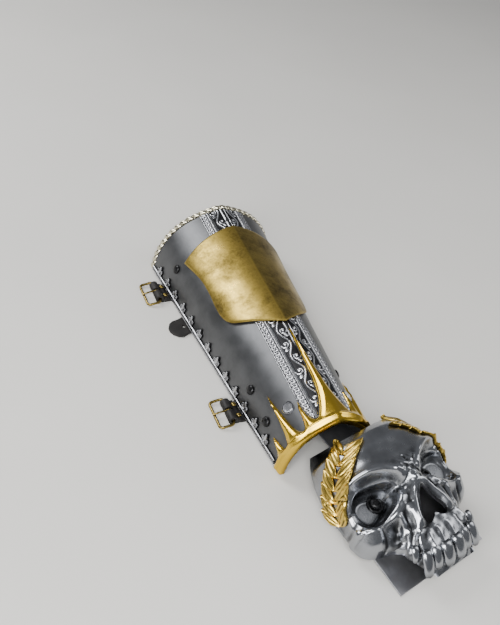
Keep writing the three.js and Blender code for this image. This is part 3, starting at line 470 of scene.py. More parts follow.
def ramp(tree, factor, stops):
    made = add_node(tree, "ShaderNodeValToRGB", n0=factor)
    made.color_ramp.elements[0].position = stops[0][0]
    made.color_ramp.elements[0].color = (*stops[0][1], 1)
    made.color_ramp.elements[1].position = stops[-1][0]
    made.color_ramp.elements[1].color = (*stops[-1][1], 1)
    for place, shade in stops[1:-1]:
        made.color_ramp.elements.new(place).color = (*shade, 1)
    return made.outputs[0]


def scaled(shade, by):
    return tuple(min(1, part * by) for part in shade)


def bare_material(name):
    material = bpy.data.materials.new(name)
    material.use_nodes = True
    tree = material.node_tree
    shader = tree.nodes["Principled BSDF"]
    place = add_node(tree, "ShaderNodeTexCoord").outputs["Object"]
    return material, tree, shader, place


def noise(tree, place, per_mm, detail=4, roughness=0.55):
    """Noise whose grains measure about 1 / per_mm millimetres."""
    return add_node(
        tree, "ShaderNodeTexNoise", Vector=place, Scale=per_mm / MM, Detail=detail, Roughness=roughness
    ).outputs[0]


def bump(tree, height, depth_mm, normal=None):
    made = add_node(tree, "ShaderNodeBump", Height=height, Strength=1.0, Distance=depth_mm * MM)
    if normal:
        tree.links.new(normal, made.inputs["Normal"])
    return made.outputs[0]


def worn_metal_with_painted_light(name, shade, dark, bright, rough, mottle_mm, grain_mm=0.35, grain_depth=0.02):
    """Cast or sheet metal: dark in the hollows, as patina and painted shade, bright on the ridges, as
    rubbed wear and painted highlight, mottled between.
    """
    material, tree, shader, place = bare_material(name)
    shader.inputs["Metallic"].default_value = 1.0
    ridge = add_node(tree, "ShaderNodeAttribute", {"attribute_name": "ridge"}).outputs["Fac"]
    cloud = noise(tree, place, 1 / mottle_mm, 5, 0.6)
    fine = noise(tree, place, 1 / grain_mm, 3, 0.5)
    # Dark hollows are patina and painted shade; bright ridges are rubbed wear and painted highlight.
    shifted = add_node(
        tree, "ShaderNodeMath", {"operation": "MULTIPLY_ADD"}, n0=cloud, n1=0.34, n2=ridge
    ).outputs[0]
    wear_and_painted_light = add_node(tree, "ShaderNodeMapRange", n0=shifted, n1=0.35, n2=1.0, n3=0.0, n4=1.0).outputs[0]
    tint = ramp(tree, wear_and_painted_light, [(0.0, scaled(shade, dark)), (0.42, shade), (0.8, scaled(shade, bright))])
    tree.links.new(tint, shader.inputs["Base Color"])
    soft = add_node(
        tree, "ShaderNodeMapRange", n0=cloud, n1=0.3, n2=0.7, n3=rough * 0.8, n4=rough * 1.25
    ).outputs[0]
    polished = add_node(tree, "ShaderNodeMath", {"operation": "MULTIPLY_ADD"}, n0=wear_and_painted_light, n1=-0.12, n2=soft)
    tree.links.new(polished.outputs[0], shader.inputs["Roughness"])
    tree.links.new(bump(tree, fine, grain_depth), shader.inputs["Normal"])
    return material


def satin_gunmetal():
    """Blued and satin-brushed sheet steel: a soft broad gleam with fine lines along the arm."""
    material, tree, shader, place = bare_material("satin gunmetal steel")
    base = tuple(colours().gunmetal)
    shader.inputs["Metallic"].default_value = 1.0
    stretched = add_node(tree, "ShaderNodeMapping", Vector=place, Scale=(1.0, 0.04, 1.0)).outputs[0]
    lines = noise(tree, stretched, 1 / 0.5, 3)
    cloud = noise(tree, place, 1 / 22, 4, 0.6)
    tint = ramp(tree, cloud, [(0.3, scaled(base, 0.78)), (0.5, base), (0.72, scaled(base, 1.2))])
    tree.links.new(tint, shader.inputs["Base Color"])
    mixed = add_node(tree, "ShaderNodeMath", {"operation": "MULTIPLY_ADD"}, n0=lines, n1=0.16, n2=0.24)
    rough = add_node(
        tree, "ShaderNodeMath", {"operation": "MULTIPLY_ADD"}, n0=cloud, n1=0.2, n2=mixed.outputs[0]
    )
    tree.links.new(rough.outputs[0], shader.inputs["Roughness"])
    tree.links.new(bump(tree, lines, 0.008), shader.inputs["Normal"])
    return material


def brushed_sheet():
    """Satin sheet steel: even fine brushing across a flat plate."""
    material, tree, shader, place = bare_material("satin sheet steel")
    shade = tuple(colours().satin_steel)
    shader.inputs["Metallic"].default_value = 1.0
    stretched = add_node(tree, "ShaderNodeMapping", Vector=place, Scale=(0.05, 1.0, 1.0)).outputs[0]
    lines = noise(tree, stretched, 1 / 0.4, 3)
    cloud = noise(tree, place, 1 / 12, 4, 0.6)
    tint = ramp(tree, cloud, [(0.3, scaled(shade, 0.82)), (0.7, scaled(shade, 1.15))])
    tree.links.new(tint, shader.inputs["Base Color"])
    mixed = add_node(tree, "ShaderNodeMath", {"operation": "MULTIPLY_ADD"}, n0=lines, n1=0.16, n2=0.36)
    tree.links.new(mixed.outputs[0], shader.inputs["Roughness"])
    tree.links.new(bump(tree, lines, 0.01), shader.inputs["Normal"])
    return material


def black_leather():
    """Finished cowhide: fine pebbled grain with creases, a dull sheen and greyed high places."""
    material, tree, shader, place = bare_material("black cowhide leather")
    base = tuple(colours().leather)
    pebbles = add_node(
        tree, "ShaderNodeTexVoronoi", {"feature": "SMOOTH_F1"}, Vector=place, Scale=1 / (1.1 * MM)
    ).outputs[0]
    cloud = noise(tree, place, 1 / 5, 5, 0.65)
    fine = noise(tree, place, 1 / 0.4, 2)
    tint = ramp(tree, cloud, [(0.35, scaled(base, 0.7)), (0.55, base), (0.75, scaled(base, 2.2))])
    tree.links.new(tint, shader.inputs["Base Color"])
    rough = add_node(tree, "ShaderNodeMapRange", n0=cloud, n1=0.3, n2=0.7, n3=0.45, n4=0.72).outputs[0]
    tree.links.new(rough, shader.inputs["Roughness"])
    shader.inputs["Specular IOR Level"].default_value = 0.45
    grained = bump(tree, pebbles, 0.12)
    tree.links.new(bump(tree, fine, 0.04, grained), shader.inputs["Normal"])
    return material


def blackened_steel():
    """Black-oxide steel: near black with a semi-gloss skin, greyer where it is handled."""
    material, tree, shader, place = bare_material("black oxide steel")
    shader.inputs["Metallic"].default_value = 0.6
    cloud = noise(tree, place, 1 / 2.5, 4)
    tint = ramp(tree, cloud, [(0.35, linear(0x0C0C0D)), (0.75, linear(0x2A2A2C))])
    tree.links.new(tint, shader.inputs["Base Color"])
    rough = add_node(tree, "ShaderNodeMapRange", n0=cloud, n1=0.3, n2=0.7, n3=0.2, n4=0.4).outputs[0]
    tree.links.new(rough, shader.inputs["Roughness"])
    tree.links.new(bump(tree, noise(tree, place, 1 / 0.5, 2), 0.01), shader.inputs["Normal"])
    return material


def aged_plaque_brass():
    """Old sheet brass: brown patina in clouds and scuffs, rubbed to gold where hands touch it."""
    material, tree, shader, place = bare_material("old sheet brass")
    base = tuple(colours().aged_brass)
    shader.inputs["Metallic"].default_value = 1.0
    cloud = noise(tree, place, 1 / 26, 7, 0.68)
    speck = noise(tree, place, 1 / 2.2, 6, 0.7)
    ridge = add_node(tree, "ShaderNodeAttribute", {"attribute_name": "ridge"}).outputs["Fac"]
    both = add_node(
        tree, "ShaderNodeMath", {"operation": "MULTIPLY_ADD"}, n0=speck, n1=0.32, n2=cloud
    ).outputs[0]
    edged = add_node(
        tree, "ShaderNodeMath", {"operation": "MULTIPLY_ADD"}, n0=ridge, n1=0.3, n2=both
    ).outputs[0]
    patina = [(0.6, linear(0x4C4020)), (0.74, scaled(base, 0.6)), (0.86, base), (1.0, scaled(base, 1.35))]
    tint = ramp(tree, edged, patina)
    tree.links.new(tint, shader.inputs["Base Color"])
    rough = add_node(tree, "ShaderNodeMapRange", n0=both, n1=0.5, n2=0.85, n3=0.46, n4=0.26).outputs[0]
    tree.links.new(rough, shader.inputs["Roughness"])
    tree.links.new(bump(tree, speck, 0.03), shader.inputs["Normal"])
    return material


# The metals that darken in hollows, with patina and painted shade, and brighten on ridges, with wear and
# painted highlight: shades of hollows and ridges, roughness, and the mottle's size
WORN_METALS_WITH_PAINTED_LIGHT = {
    # Polished cast brass: warm yellow with a painted gleam on the ridges, brown patina and painted shade
    # only in the deepest places
    "bright_brass": dict(name="polished cast brass", dark=0.34, bright=1.2, rough=0.27, mottle_mm=12.0),
    # Nickel-plated brass, polished: pale strands with painted highlights on their crests, painted shade
    # between them
    "pale_brass": dict(name="nickel-plated brass", dark=0.14, bright=1.2, rough=0.24, mottle_mm=6.0),
    # Cast white metal, blackened and rubbed back: silver ornament on a dark ground
    "silver": dict(name="blackened cast silver plate", dark=0.07, bright=1.3, rough=0.34, mottle_mm=7.0),
    # Cast zinc alloy with a dark plated skin: smooth swells with a painted gleam, hollows darkened with
    # painted shade
    "cast_metal": dict(
        name="dark plated cast metal", dark=0.22, bright=1.5, rough=0.3, mottle_mm=16.0, grain_mm=0.6,
        grain_depth=0.015,
    ),
    # Cast brass with an antique lacquer: rubbed gold rims over brown leaves
    "antique_gold": dict(name="antique lacquered brass", dark=0.12, bright=1.5, rough=0.34, mottle_mm=8.0),
    # Drawn brass wire, polished by use
    "buckle_brass": dict(name="drawn brass wire", dark=0.5, bright=1.2, rough=0.26, mottle_mm=5.0),
}
OTHER_FINISHES = {
    "gunmetal": satin_gunmetal,
    "aged_brass": aged_plaque_brass,
    "satin_steel": brushed_sheet,
    "leather": black_leather,
    "black_steel": blackened_steel,
}
FINISHES = {}


def finish(name):
    """One of the finishes, made when it is first asked for."""
    if name not in FINISHES and name in WORN_METALS_WITH_PAINTED_LIGHT:
        FINISHES[name] = worn_metal_with_painted_light(shade=tuple(getattr(colours(), name)), **WORN_METALS_WITH_PAINTED_LIGHT[name])
    elif name not in FINISHES:
        FINISHES[name] = OTHER_FINISHES[name]()
    return FINISHES[name]


# Cuff


def cuff_shell():
    """The smooth tapered arch with its keel crease and eased ends."""
    turns = np.concatenate([-np.linspace(QUARTER, 0, 81)[:-1], np.linspace(0, QUARTER, 81)])
    ease = 0.5
    inner = np.linspace(4, SHELL_LENGTH - 4, 64)
    stations = np.concatenate([[0, ease], inner, [SHELL_LENGTH - ease, SHELL_LENGTH]])
    along, turn = np.meshgrid(stations, turns, indexing="ij")
    end = np.minimum(along, SHELL_LENGTH - along)
    dip = ease * np.clip(1 - end / ease, 0, 1)
    top = arch(along, turn, -dip)
    bottom = arch(along, turn, dip - SHELL_WALL)
    kept = np.ones((len(stations) - 1, len(turns) - 1), bool)
    return skin_object("cuff_shell", top, bottom, kept, 1, 0.4, 22)


# The trim's half outline: across as a share of the wrist's quarter arc, along of the spike's length
TRIM_ROWS = (
    (0, 1, 1),
    (0.046, 0.47, 0),
    (0.079, 0.28, 0),
    (0.129, 0.15, 0),
    (0.189, 0.064, 0),
    (0.229, 0.055, 0),
    (0.276, 0.1, 0),
    (0.302, 0.18, 0),
    (0.314, 0.29, 1),
    (0.345, 0.21, 0),
    (0.352, 0.13, 0),
    (0.372, 0.05, 0),
    (0.402, 0.022, 0),
    (0.472, 0.07, 0),
    (0.53, 0.24, 0),
    (0.6, 0.51, 1),
    (0.616, 0.15, 0),
    (0.645, 0.03, 0),
    (0.68, 0.02, 0),
    (0.722, 0.04, 0),
    (0.785, 0.19, 1),
    (0.815, 0.09, 0),
    (0.86, 0.03, 0),
    (1, 0.045, 1),
)
SPIKE = 95.0
OVERHANG = 6.0


def trim_outline():
    arm = quarter_arc(0) - 1
    side = [(across * arm, along * SPIKE) for across, along, _ in TRIM_ROWS]
    sharp = [row[2] for row in TRIM_ROWS]
    rows = [*side, (arm, -OVERHANG), (-arm, -OVERHANG), *[(-x, y) for x, y in side[:0:-1]]]
    flags = [*sharp, 1, 1, *sharp[:0:-1]]
    return through(rows, [i for i, flag in enumerate(flags) if flag], 5)


def wrist_trim():
    """Cast brass mouth of thorns, with a lip over the cuff's end and a ridge along each thorn."""
    outline = trim_outline()
    thick = in_mm(sizes().trim_thickness)
    arm = quarter_arc(0)

    def height(u, v, depth):
        round_edge = 1 - np.exp(-np.maximum(depth, 0) / 0.9)
        crest = np.minimum(depth, 5) * 0.28
        lip = 1.1 * np.exp(-np.abs(v + 0.8) / 1.5) * (v < 6)
        return GAP + 0.3 + (thick - 0.9) * round_edge + crest + lip * round_edge

    def floor(u, v):
        return np.where(v < -GAP, -SHELL_WALL, GAP)

    top, bottom, kept, _ = relief(
        lambda u, v: inside_line(u, v, outline), height, floor,
        (-arm, -OVERHANG - 1), (arm, SPIKE + 1), 0.7, over_arch,
    )
    return skin_object("wrist_thorns", top, bottom, kept, 2, 0.25, 60)


# The plaque's half outline: shares of its half-width and length
PLAQUE_ROWS = (
    (0, 1, 0),
    (0.34, 0.985, 0),
    (0.62, 0.957, 0),
    (1, 0.905, 1),
    (0.93, 0.79, 0),
    (0.865, 0.66, 0),
    (0.845, 0.52, 0),
    (0.855, 0.38, 0),
    (0.83, 0.28, 0),
    (0.75, 0.205, 0),
    (0.63, 0.16, 0),
    (0.36, 0.09, 0),
    (0, 0, 1),
)
PLAQUE = {"half": 55.0, "length": 127.0, "start": 101.5, "out": 1.5}


def shield_plaque():
    """Folded sheet brass shield with a crease on the keel and a filed edge."""
    side = [(x * PLAQUE["half"], PLAQUE["start"] + y * PLAQUE["length"]) for x, y, _ in PLAQUE_ROWS]
    flags = [row[2] for row in PLAQUE_ROWS]
    rows = [*side, *[(-x, y) for x, y in side[-2:0:-1]]]
    marks = [*flags, *flags[-2:0:-1]]
    outline = through(rows, [i for i, flag in enumerate(marks) if flag], 5)
    thick = in_mm(sizes().plaque_thickness)

    def height(u, v, depth):
        return PLAQUE["out"] + thick - 0.5 * np.exp(-np.maximum(depth, 0) / 0.5)

    top, bottom, kept, _ = relief(
        lambda u, v: inside_line(u, v, outline),
        height,
        flat_floor(PLAQUE["out"]),
        (-PLAQUE["half"] - 1, PLAQUE["start"] - 1),
        (PLAQUE["half"] + 1, PLAQUE["start"] + PLAQUE["length"] + 1),
        1.0,
        over_arch,
    )
    return skin_object("shield_plaque_sheet", top, bottom, kept, 1, 0.1, 22)


def bead(distance, half, rise):
    """Height of a round bead at a distance from its middle line."""
    return rise * np.sqrt(np.clip(1 - (distance / half) ** 2, 0, 1))


TRIM_SHAPE = trim_outline()


def off_trim(u, v):
    """Below 0 where a strip is clear of the wrist trim."""
    near = v < SPIKE + 2
    away = np.full(u.shape, -10.0)
    away[near] = 2 * GAP - inside_line(u[near], v[near], TRIM_SHAPE)
    return away


BAND = {"inner": 14.6, "width": 8.0, "rail": 1.1}
PANEL = {"inner": 1.2, "outer": 13.6}


def braid_height(u, v):
    """Three strands plaited between two rails."""
    depth = in_mm(sizes().relief_depth)
    pitch = in_mm(sizes().braid_pitch)
    middle = BAND["inner"] + BAND["width"] / 2
    reach = BAND["width"] / 2 - BAND["rail"] - 1.0
    ground = GAP + depth * 0.3
    best = np.full(u.shape, ground)
    for strand in range(3):
        phase = 2 * math.pi * (v / pitch + strand / 3)
        course = middle + reach * np.sin(phase)
        lean = np.sqrt(1 + (reach * 2 * math.pi / pitch * np.cos(phase)) ** 2)
        far = np.abs(u - course) / lean
        level = depth * (0.5 + 0.22 * np.sin(2 * phase))
        cord = ground - 0.1 + level * 0.5 + bead(far, 0.85, level)
        best = np.maximum(best, np.where(far < 0.85, cord, ground))
    for edge in (BAND["inner"] + BAND["rail"] / 2, BAND["inner"] + BAND["width"] - BAND["rail"] / 2):
        best = np.maximum(best, GAP + 0.15 + bead(np.abs(u - edge), BAND["rail"] / 2, depth))
    return best


def scroll_height(u, v):
    """A wavy stem with a curled tendril in each bend and a small leaf opposite."""
    depth = in_mm(sizes().relief_depth)
    pitch = in_mm(sizes().scroll_pitch)
    middle = (PANEL["inner"] + PANEL["outer"]) / 2
    swing = 2.6
    ground = GAP + depth * 0.3
    phase = 2 * math.pi * v / pitch
    course = middle + swing * np.sin(phase)
    lean = np.sqrt(1 + (swing * 2 * math.pi / pitch * np.cos(phase)) ** 2)
    best = ground + bead(np.abs(u - course) / lean, 0.75, depth * 0.85)
    half = pitch / 2
    bend = np.round((v - pitch / 4) / half)
    centre_v = pitch / 4 + bend * half
    side = np.where(np.mod(bend, 2) == 0, 1, -1)
    centre_u = middle - side * 1.9
    du, dv = (u - centre_u) * side, v - centre_v
    far = np.hypot(du, dv)
    angle = np.arctan2(dv, -du)
    coil = 0.55 + 0.46 * np.mod(angle + 0.6, 2 * math.pi)
    for turn_out in (0, 2.89):
        ring = coil + turn_out
        shown = ring < 3.7
        best = np.maximum(best, ground + np.where(shown, bead(np.abs(far - ring), 0.55, depth * 0.8), 0))
    best = np.maximum(best, ground + bead(far, 0.8, depth))
    leaf_v = v - centre_v + 6.2
    leaf_u = (u - middle) * side + 3.1
    along, across = leaf_v * 0.86 + leaf_u * 0.5, -leaf_v * 0.5 + leaf_u * 0.86
    blade = 1 - (along / 3.2) ** 2 - (across / 1.25) ** 2
    vein = 0.25 * np.exp(-((across / 0.3) ** 2))
    best = np.maximum(best, ground + np.where(blade > 0, depth * (np.sqrt(np.clip(blade, 0, 1)) - vein), 0))
    rail = np.minimum(np.abs(u - PANEL["inner"] - 0.45), np.abs(u - PANEL["outer"] + 0.45))
    return np.maximum(best, GAP + 0.1 + bead(rail, 0.45, depth * 0.9))


def strip(name, low, high, pattern, side, cell=0.4):
    """One ornamented strip along the cuff."""
    end = SHELL_LENGTH - GAP

    def field(u, v):
        edge = np.maximum(np.maximum(low - u, u - high), np.maximum(-v, v - end))
        return np.maximum(edge, off_trim(u, v))

    def place(u, v, out):
        return over_arch(u * side, v, out)

    def height(u, v, depth):
        return GAP + (pattern(u, v) - GAP) * (1 - 0.6 * np.exp(-np.maximum(depth, 0) / 0.25))

    top, bottom, kept, rise = relief(
        field, height, flat_floor(GAP), (low - cell, -cell), (high + cell, end + cell), cell, place
    )
    depth = in_mm(sizes().relief_depth)
    ridge = np.clip((rise - GAP - depth * 0.34) / (depth * 0.8), 0, 1) ** 0.8
    return skin_object(name, top, bottom, kept, 1, 0.05, 70, ridge)


# Geometry Nodes


def node_group(name, inputs):
    """A geometry tree with a Geometry input and output, and named inputs."""
    tree = bpy.data.node_groups.new(name, "GeometryNodeTree")
    tree.interface.new_socket("Geometry", in_out="INPUT", socket_type="NodeSocketGeometry")
    for label, kind in inputs:
        tree.interface.new_socket(label, in_out="INPUT", socket_type=kind)
    tree.interface.new_socket("Geometry", in_out="OUTPUT", socket_type="NodeSocketGeometry")
    return tree, add_node(tree, "NodeGroupInput"), add_node(tree, "NodeGroupOutput")


def grow(name, start, tree, values, sharp=40):
    """Runs a geometry tree on an object and keeps the result as a plain mesh."""
    modifier = start.modifiers.new("grow", "NODES")
    modifier.node_group = tree
    for item in tree.interface.items_tree:
        if item.in_out == "INPUT" and item.name in values:
            modifier[item.identifier] = values[item.name]
    view = bpy.context.evaluated_depsgraph_get()
    mesh = bpy.data.meshes.new_from_object(start.evaluated_get(view))
    bpy.data.objects.remove(start)
    work = bmesh.new()
    work.from_mesh(mesh)
    bmesh.ops.remove_doubles(work, verts=work.verts, dist=1e-7)
    bmesh.ops.recalc_face_normals(work, faces=work.faces)
    work.to_mesh(mesh)
    work.free()
    smooth_faces(mesh, sharp)
    return in_scene(name, mesh)


def path_object(points, closed=False, turns=None):
    """A bare line or a cloud of points for a tree to start from, in the shell frame."""
    placed = (np.asarray(points, float) + ORIGIN) * MM
    count = len(placed)
    edges = []
    if turns is None:
        edges = [(i, i + 1) for i in range(count - 1)] + ([(count - 1, 0)] if closed else [])
    mesh = bpy.data.meshes.new("path")
    mesh.from_pydata(placed.tolist(), edges, [])
    if turns is not None:
        spin = mesh.attributes.new("turn", "FLOAT_VECTOR", "POINT")
        spin.data.foreach_set("vector", np.asarray(turns, np.float32).ravel())
    return in_scene("path", mesh)


def end_tree(tree, made, given, result):
    """Realizes what was made, gives it its material and sends it out."""
    plain = add_node(tree, "GeometryNodeRealizeInstances", Geometry=made.outputs[0])
    dressed = add_node(
        tree, "GeometryNodeSetMaterial", Geometry=plain.outputs[0], Material=given.outputs["Material"]
    )
    tree.links.new(dressed.outputs[0], result.inputs[0])
    return tree


def pieces_on_points():
    """Sets one shape on every point, turned by the point's own rotation."""
    if "pieces on points" in bpy.data.node_groups:
        return bpy.data.node_groups["pieces on points"]
    inputs = [("Shape", "NodeSocketObject"), ("Material", "NodeSocketMaterial")]
    tree, given, result = node_group("pieces on points", inputs)
    shape = add_node(tree, "GeometryNodeObjectInfo", Object=given.outputs["Shape"])
    spin = add_node(tree, "GeometryNodeInputNamedAttribute", {"data_type": "FLOAT_VECTOR"}, Name="turn")
    cloud = add_node(tree, "GeometryNodeMeshToPoints", Mesh=given.outputs["Geometry"])
    turned = add_node(tree, "FunctionNodeEulerToRotation", Euler=spin.outputs[0])
    placed = add_node(
        tree,
        "GeometryNodeInstanceOnPoints",
        Points=cloud.outputs[0],
        Instance=shape.outputs["Geometry"],
        Rotation=turned.outputs[0],
    )
    return end_tree(tree, placed, given, result)


def set_on_points(name, shape, points, turns, material, sharp=40):
    start = path_object(points, turns=turns)
    values = {"Shape": shape, "Material": material}
    made = grow(name, start, pieces_on_points(), values, sharp)
    bpy.data.objects.remove(shape)
    return made


def wire_along_path():
    """Sweeps a round wire along a line, with closed ends."""
    if "wire along path" in bpy.data.node_groups:
        return bpy.data.node_groups["wire along path"]
    inputs = [("Radius", "NodeSocketFloat"), ("Sides", "NodeSocketInt"), ("Material", "NodeSocketMaterial")]
    tree, given, result = node_group("wire along path", inputs)
    line = add_node(tree, "GeometryNodeMeshToCurve", Mesh=given.outputs["Geometry"])
    ring = add_node(tree, "GeometryNodeCurvePrimitiveCircle", Resolution=given.outputs["Sides"])
    tree.links.new(given.outputs["Radius"], ring.inputs["Radius"])
    swept = add_node(tree, "GeometryNodeCurveToMesh", Curve=line.outputs[0], Fill_Caps=True)
    tree.links.new(ring.outputs[0], swept.inputs["Profile Curve"])
    return end_tree(tree, swept, given, result)


def roped_edge_tree():
    """Lays slanted strands one after another along a line, over a slim core."""
    tree, given, result = node_group(
        "roped edge",
        [
            ("Strand", "NodeSocketObject"),
            ("Pitch", "NodeSocketFloat"),
            ("Core", "NodeSocketFloat"),
            ("Material", "NodeSocketMaterial"),
        ],
    )
    line = add_node(tree, "GeometryNodeMeshToCurve", Mesh=given.outputs["Geometry"])
    even = add_node(tree, "GeometryNodeResampleCurve", {"mode": "LENGTH"}, Curve=line.outputs[0])
    tree.links.new(given.outputs["Pitch"], even.inputs["Length"])
    spots = add_node(tree, "GeometryNodeCurveToPoints", {"mode": "EVALUATED"}, Curve=even.outputs[0])
    aim = add_node(
        tree, "FunctionNodeAxesToRotation", {"primary_axis": "Z", "secondary_axis": "Y"},
        Primary_Axis=spots.outputs["Tangent"], Secondary_Axis=(0.0, 1.0, 0.0),
    )
    shape = add_node(tree, "GeometryNodeObjectInfo", Object=given.outputs["Strand"])
    laid = add_node(
        tree,
        "GeometryNodeInstanceOnPoints",
        Points=spots.outputs["Points"],
        Instance=shape.outputs["Geometry"],
        Rotation=aim.outputs[0],
    )
    ring = add_node(tree, "GeometryNodeCurvePrimitiveCircle", Resolution=12, Radius=given.outputs["Core"])
    core = add_node(tree, "GeometryNodeCurveToMesh", Curve=even.outputs[0], Fill_Caps=True)
    tree.links.new(ring.outputs[0], core.inputs["Profile Curve"])
    both = add_node(tree, "GeometryNodeJoinGeometry")
    tree.links.new(core.outputs[0], both.inputs[0])
    tree.links.new(laid.outputs[0], both.inputs[0])
    return end_tree(tree, both, given, result)


def loose_shape(name, points, faces, fields=None):
    """A mesh round its own origin, in millimetres, for a tree to repeat."""
    mesh = bpy.data.meshes.new(name)
    mesh.from_pydata((np.asarray(points, float) * MM).tolist(), [], np.asarray(faces).tolist())
    store_values(mesh, fields)
    return in_scene(name, mesh)


def lathe(profile, sides=32):
    """Points and faces of a turned piece about Z: [radius, height] rows from axis to axis or closed."""
    rows = np.asarray(profile, float)
    angles = np.arange(sides) / sides * 2 * math.pi
    heights = np.broadcast_to(rows[:, 1:], (len(rows), sides))
    points = np.stack([rows[:, :1] * np.cos(angles), rows[:, :1] * np.sin(angles), heights], -1)
    return points.reshape(-1, 3), ring_faces(len(rows), sides)


def roped_rim():
    """Cast rope round the elbow end: slanted strands over a core."""
    s = sizes()
    radius, pitch = in_mm(s.rope_radius), in_mm(s.rope_pitch)
    turns = np.linspace(-QUARTER, QUARTER, 240)
    line = arch(SHELL_LENGTH, turns, -SHELL_WALL / 2)
    line[:, 1] = SHELL_LENGTH + GAP + radius
    run = run_along(line)
    count = round(run[-1] / pitch)
    inset = pitch * 0.55
    stations = np.linspace(inset, run[-1] - inset, 240)
    line = np.stack([np.interp(stations, run, line[:, k]) for k in range(3)], -1)
    # One strand: a fat S wound a part of a turn round the core
    around, along = np.meshgrid(np.linspace(0, 2 * math.pi, 13)[:-1], np.linspace(-1, 1, 33), indexing="ij")
    wind = along * math.radians(165)
    fat = pitch * 0.40 * np.sqrt(np.clip(1 - np.abs(along) ** 3.2, 0, 1))
    middle = radius - pitch * 0.40 * 0.92
    travel = along * pitch * 0.82
    radial = middle + fat * np.cos(around) * 0.92
    aside = fat * np.sin(around) * 0.94
    angle = wind + math.pi
    x = radial * np.cos(angle) + aside * np.sin(angle) * 0.68
    y = radial * np.sin(angle) - aside * np.cos(angle) * 0.68
    z = travel + aside * 0.73
    points = np.stack([x, y, z], -1)
    number = np.arange(points.shape[0] * points.shape[1]).reshape(points.shape[:2])
    after = np.roll(number, -1, 0)
    faces = np.stack([number[:, :-1], after[:, :-1], after[:, 1:], number[:, 1:]], -1).reshape(-1, 4)
    # Each strand is painted bright on its outer crest and dark on its inner side towards the core: painted
    # highlight and painted shade.
    high = 0.5 + 0.5 * np.cos(around) * np.sqrt(np.clip(1 - along**2, 0, 1))
    strand = loose_shape("strand", points.reshape(-1, 3), faces, {"ridge": high.ravel()})
    values = {
        "Strand": strand,
        "Pitch": pitch * MM * (run[-1] - 2 * inset) / (pitch * (count - 1)),
        "Core": radius * 0.62 * MM,
        "Material": finish("pale_brass"),
    }
    piece = grow("rope_rim", path_object(line), roped_edge_tree(), values, 60)
    bpy.data.objects.remove(strand)
    return piece


# Lower borders

FLEUR = {"start": 24.0, "margin": 15.0, "height": 9.0, "half": 4.6}
BORDER = {"start": 5.5, "depth": 5.2, "thick": 1.5}


def border_strip(side):
    """Two thin rails with slanted cords between them, along one lower edge."""
    end = SHELL_LENGTH - GAP

    def place(u, v, out):
        return over_arch(side * (quarter_arc(v) - u), v, out)

    def height(u, v, depth):
        rails = np.maximum(
            bead(np.abs(u - BORDER["depth"] + 0.6), 0.55, 1.15), bead(np.abs(u - 0.9), 0.55, 1.15)
        )
        slant = np.mod(v + u * 0.9, 1.7) / 1.7 - 0.5
        cords = 0.75 * np.sqrt(np.clip(1 - (slant / 0.45) ** 2, 0, 1))
        between = (u > 1.5) & (u < BORDER["depth"] - 1.2)
        return GAP + 0.35 + np.maximum(rails, np.where(between, cords, 0))

    def field(u, v):
        across = np.maximum(GAP - u, u - BORDER["depth"])
        return np.maximum(across, np.maximum(BORDER["start"] - v, v - end))

    top, bottom, kept, rise = relief(
        field, height, flat_floor(GAP),
        (GAP - 0.4, BORDER["start"] - 0.4), (BORDER["depth"] + 0.4, end + 0.4), 0.4, place,
    )
    ridge = np.clip((rise - GAP - 0.7) / 0.9, 0, 0.8)
    return skin_object("border_strip", top, bottom, kept, 1, 0.05, 70, ridge)


def fleur_shape():
    """One small fleur: a spear top, two side curls and a foot, on its own origin."""
    tall, half = FLEUR["height"] + 1.2, FLEUR["half"]

    def height(u, v, depth):
        spear_wide = 1.75 * np.sin(np.clip((u - tall * 0.30) / (tall * 0.70), 0, 1) * math.pi) ** 0.7 + 0.25
        spear = np.where((u > tall * 0.28) & (u < tall), 1 - (v / spear_wide) ** 2, -1)
        rise = 1.15 * np.sqrt(np.clip(spear, 0, 1)) - 0.25 * np.exp(-((v / 0.28) ** 2)) * (spear > 0)
        curl_u, curl_v = tall * 0.47, half * 0.62
        far = np.hypot(u - curl_u, np.abs(v) - curl_v)
        ring = 0.95 * np.sqrt(np.clip(1 - ((far - 1.35) / 0.62) ** 2, 0, 1))
        eye = 0.8 * np.sqrt(np.clip(1 - (far / 0.55) ** 2, 0, 1))
        arm = np.abs((u - tall * 0.16) - np.abs(v) * 0.95)
        limb = 1.0 * np.sqrt(np.clip(1 - (arm / 0.6) ** 2, 0, 1)) * (np.abs(v) < half * 0.7)
        foot = 1.0 * np.sqrt(np.clip(1 - ((u - tall * 0.14) / 0.8) ** 2, 0, 1)) * (np.abs(v) < half * 0.8)
        return np.maximum.reduce([rise, ring, eye, limb, foot])

    us, vs = np.meshgrid(np.linspace(0, tall, 34), np.linspace(-half, half, 31), indexing="ij")
    rise = height(us, vs, None)
    kept = cells(rise > 0.05)
    top = np.stack([us, vs, 0.1 + np.maximum(rise, 0)], -1)
    bottom = np.stack([us, vs, np.full(us.shape, -0.35)], -1)
    points, faces, used = closed_skin(top, bottom, kept)
    ridge = np.concatenate([0.75 * np.clip(rise - 0.35, 0, 1).ravel(), np.zeros(us.size)])[used]
    return loose_shape("fleur", points, faces, {"ridge": ridge})


